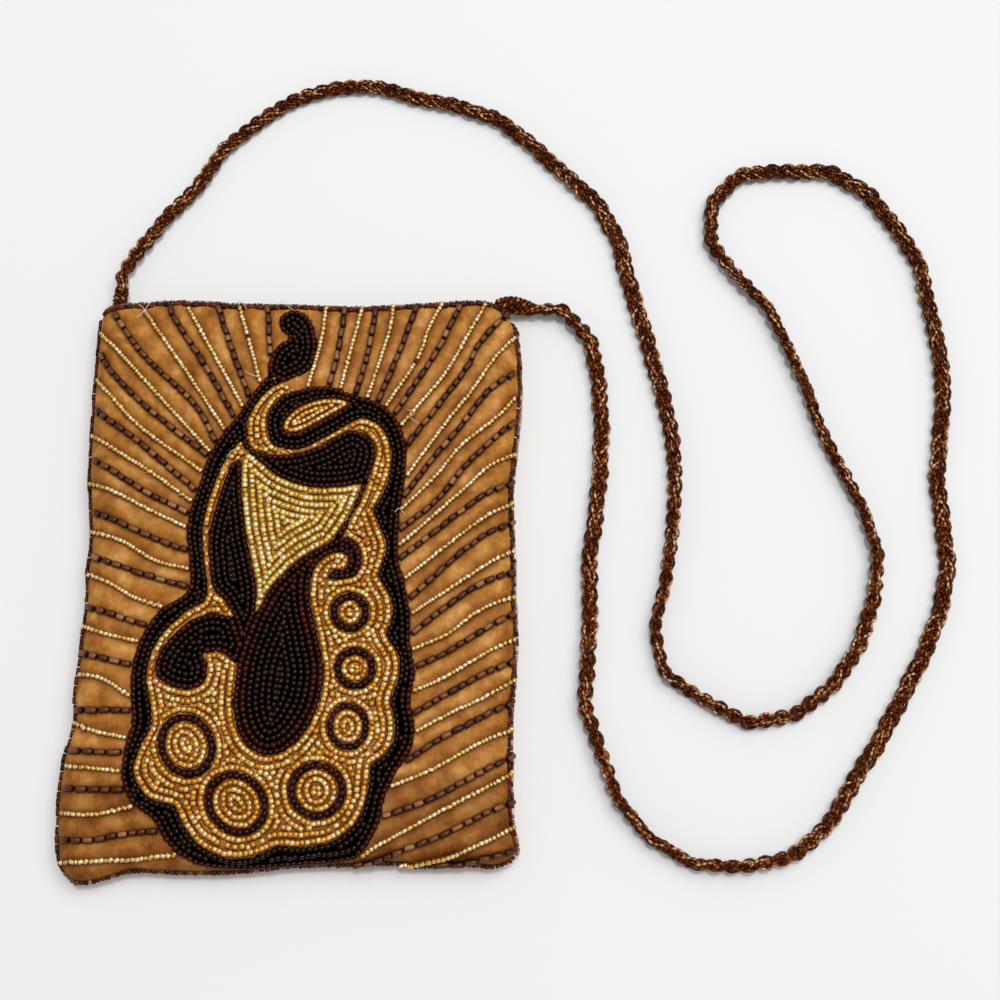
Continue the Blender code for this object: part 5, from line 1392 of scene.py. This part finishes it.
# %% Metal
brass, tree, shader = start_material("stamped_brass", Metallic=1.0, Roughness=0.28)
place = add_node(tree, "ShaderNodeTexCoord")
wear = add_node(tree, "ShaderNodeTexNoise", {"Vector": place.outputs["Object"], "Scale": 900.0,
                                             "Detail": 4.0})
tones = add_node(tree, "ShaderNodeValToRGB", {"Fac": wear.outputs["Fac"]},
                 [(0.3, "#8f6c2c"), (0.55, "#c49a4a"), (0.75, "#dcb868")])
rough = add_node(tree, "ShaderNodeMapRange", {"Value": wear.outputs["Fac"], "To Min": 0.2, "To Max": 0.42})
tree.links.new(tones.outputs["Color"], shader.inputs["Base Color"])
tree.links.new(rough.outputs["Result"], shader.inputs["Roughness"])
for node in ("zip_slider", "zip_pull", "zip_bottom_stop", "zip_top_stop_front", "zip_top_stop_back",
             "zip_teeth_front", "zip_teeth_back"):
    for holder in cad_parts[node].material_slots:
        holder.material = brass


# %% Tapes
def zip_tape(name, node, side):
    """Makes a tape: from the corded edge it runs outwards, bends up and lies on the facing."""
    low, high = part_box(node)
    middle, columns = 5.35 * MM, 160
    profile = [(93.5, 2.05), (93.5, 2.5), (93.65, 2.8), (94.1, 2.9), (95.5, 2.9), (98.0, 2.9)]
    profile = smooth_line(np.array(profile) * MM, 4)
    across = np.linspace(low[0], high[0], columns)
    gx, k = np.meshgrid(across, np.arange(len(profile)), indexing="xy")
    gy = profile[k, 0] + 0.1 * MM * np.sin(gx / (2.5 * MM))
    gz = middle + side * profile[k, 1]
    faces = grid_faces(len(profile), columns)
    made = make_piece(name, np.stack((gx, gy, gz), -1).reshape(-1, 3),
                      [faces if side > 0 else faces[:, ::-1]], tape_weave)
    thicken(made, 0.22 * MM)
    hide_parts(node)


zip_tape("front_zip_tape", "zip_tape_front", 1)
zip_tape("back_zip_tape", "zip_tape_back", -1)

# %% [markdown]
# ## Floor and light
#
# The photograph is a plain product shot: near-white ground, one broad light from the upper right,
# and soft shadows. The floor takes the shadows as a diffuse surface, and camera rays see it a little
# paler than it is, so the lamps can stay low and the colours of the purse stay true.

# %% Stage
floor_mesh = bpy.data.meshes.new("floor")
floor_mesh.from_pydata([(-3, -3, 0), (3, -3, 0), (3, 3, 0), (-3, 3, 0)], [], [(0, 1, 2, 3)])
floor = bpy.data.objects.new("floor", floor_mesh)
bpy.context.scene.collection.objects.link(floor)
floor_paint, tree, shader = start_material("pale_paper", Roughness=0.9, Specular_IOR_Level=0.1)
path = add_node(tree, "ShaderNodeLightPath")
seen = add_node(tree, "ShaderNodeMath", {0: path.outputs["Is Camera Ray"],
                                         1: path.outputs["Is Glossy Ray"]}, operation="MAXIMUM")
paper = add_node(tree, "ShaderNodeMix", {"Factor": seen.outputs["Value"], "A": linear("#dcdcdc"),
                                         "B": linear("#f4f4f4")}, data_type="RGBA")
tree.links.new(paper.outputs[2], shader.inputs["Base Color"])
floor_mesh.materials.append(floor_paint)

world = bpy.data.worlds.new("soft_room")
bpy.context.scene.world = world
world.use_nodes = True
sky = world.node_tree.nodes["Background"]
sky.inputs["Color"].default_value = (1.0, 1.0, 1.0, 1.0)
sky.inputs["Strength"].default_value = 0.36


def soft_lamp(name, place, target, size, watts):
    """Adds a square lamp turned to its target."""
    light = bpy.data.lights.new(name, "AREA")
    light.shape = "SQUARE"
    light.size = size
    light.energy = watts
    lamp = bpy.data.objects.new(name, light)
    lamp.location = place
    away = unit(np.array(place, float) - np.array(target, float))
    lamp.rotation_euler = (math.acos(away[2]), 0.0, math.atan2(away[1], away[0]) + math.pi / 2)
    bpy.context.scene.collection.objects.link(lamp)


soft_lamp("window", (1.0, 0.6, 2.45), (0.07, 0.0, 0.0), 2.1, 36.0)
soft_lamp("spark", (0.2, 0.4, 2.7), (0.07, 0.0, 0.0), 0.34, 19.0)
bpy.context.scene.view_settings.view_transform = "Standard"
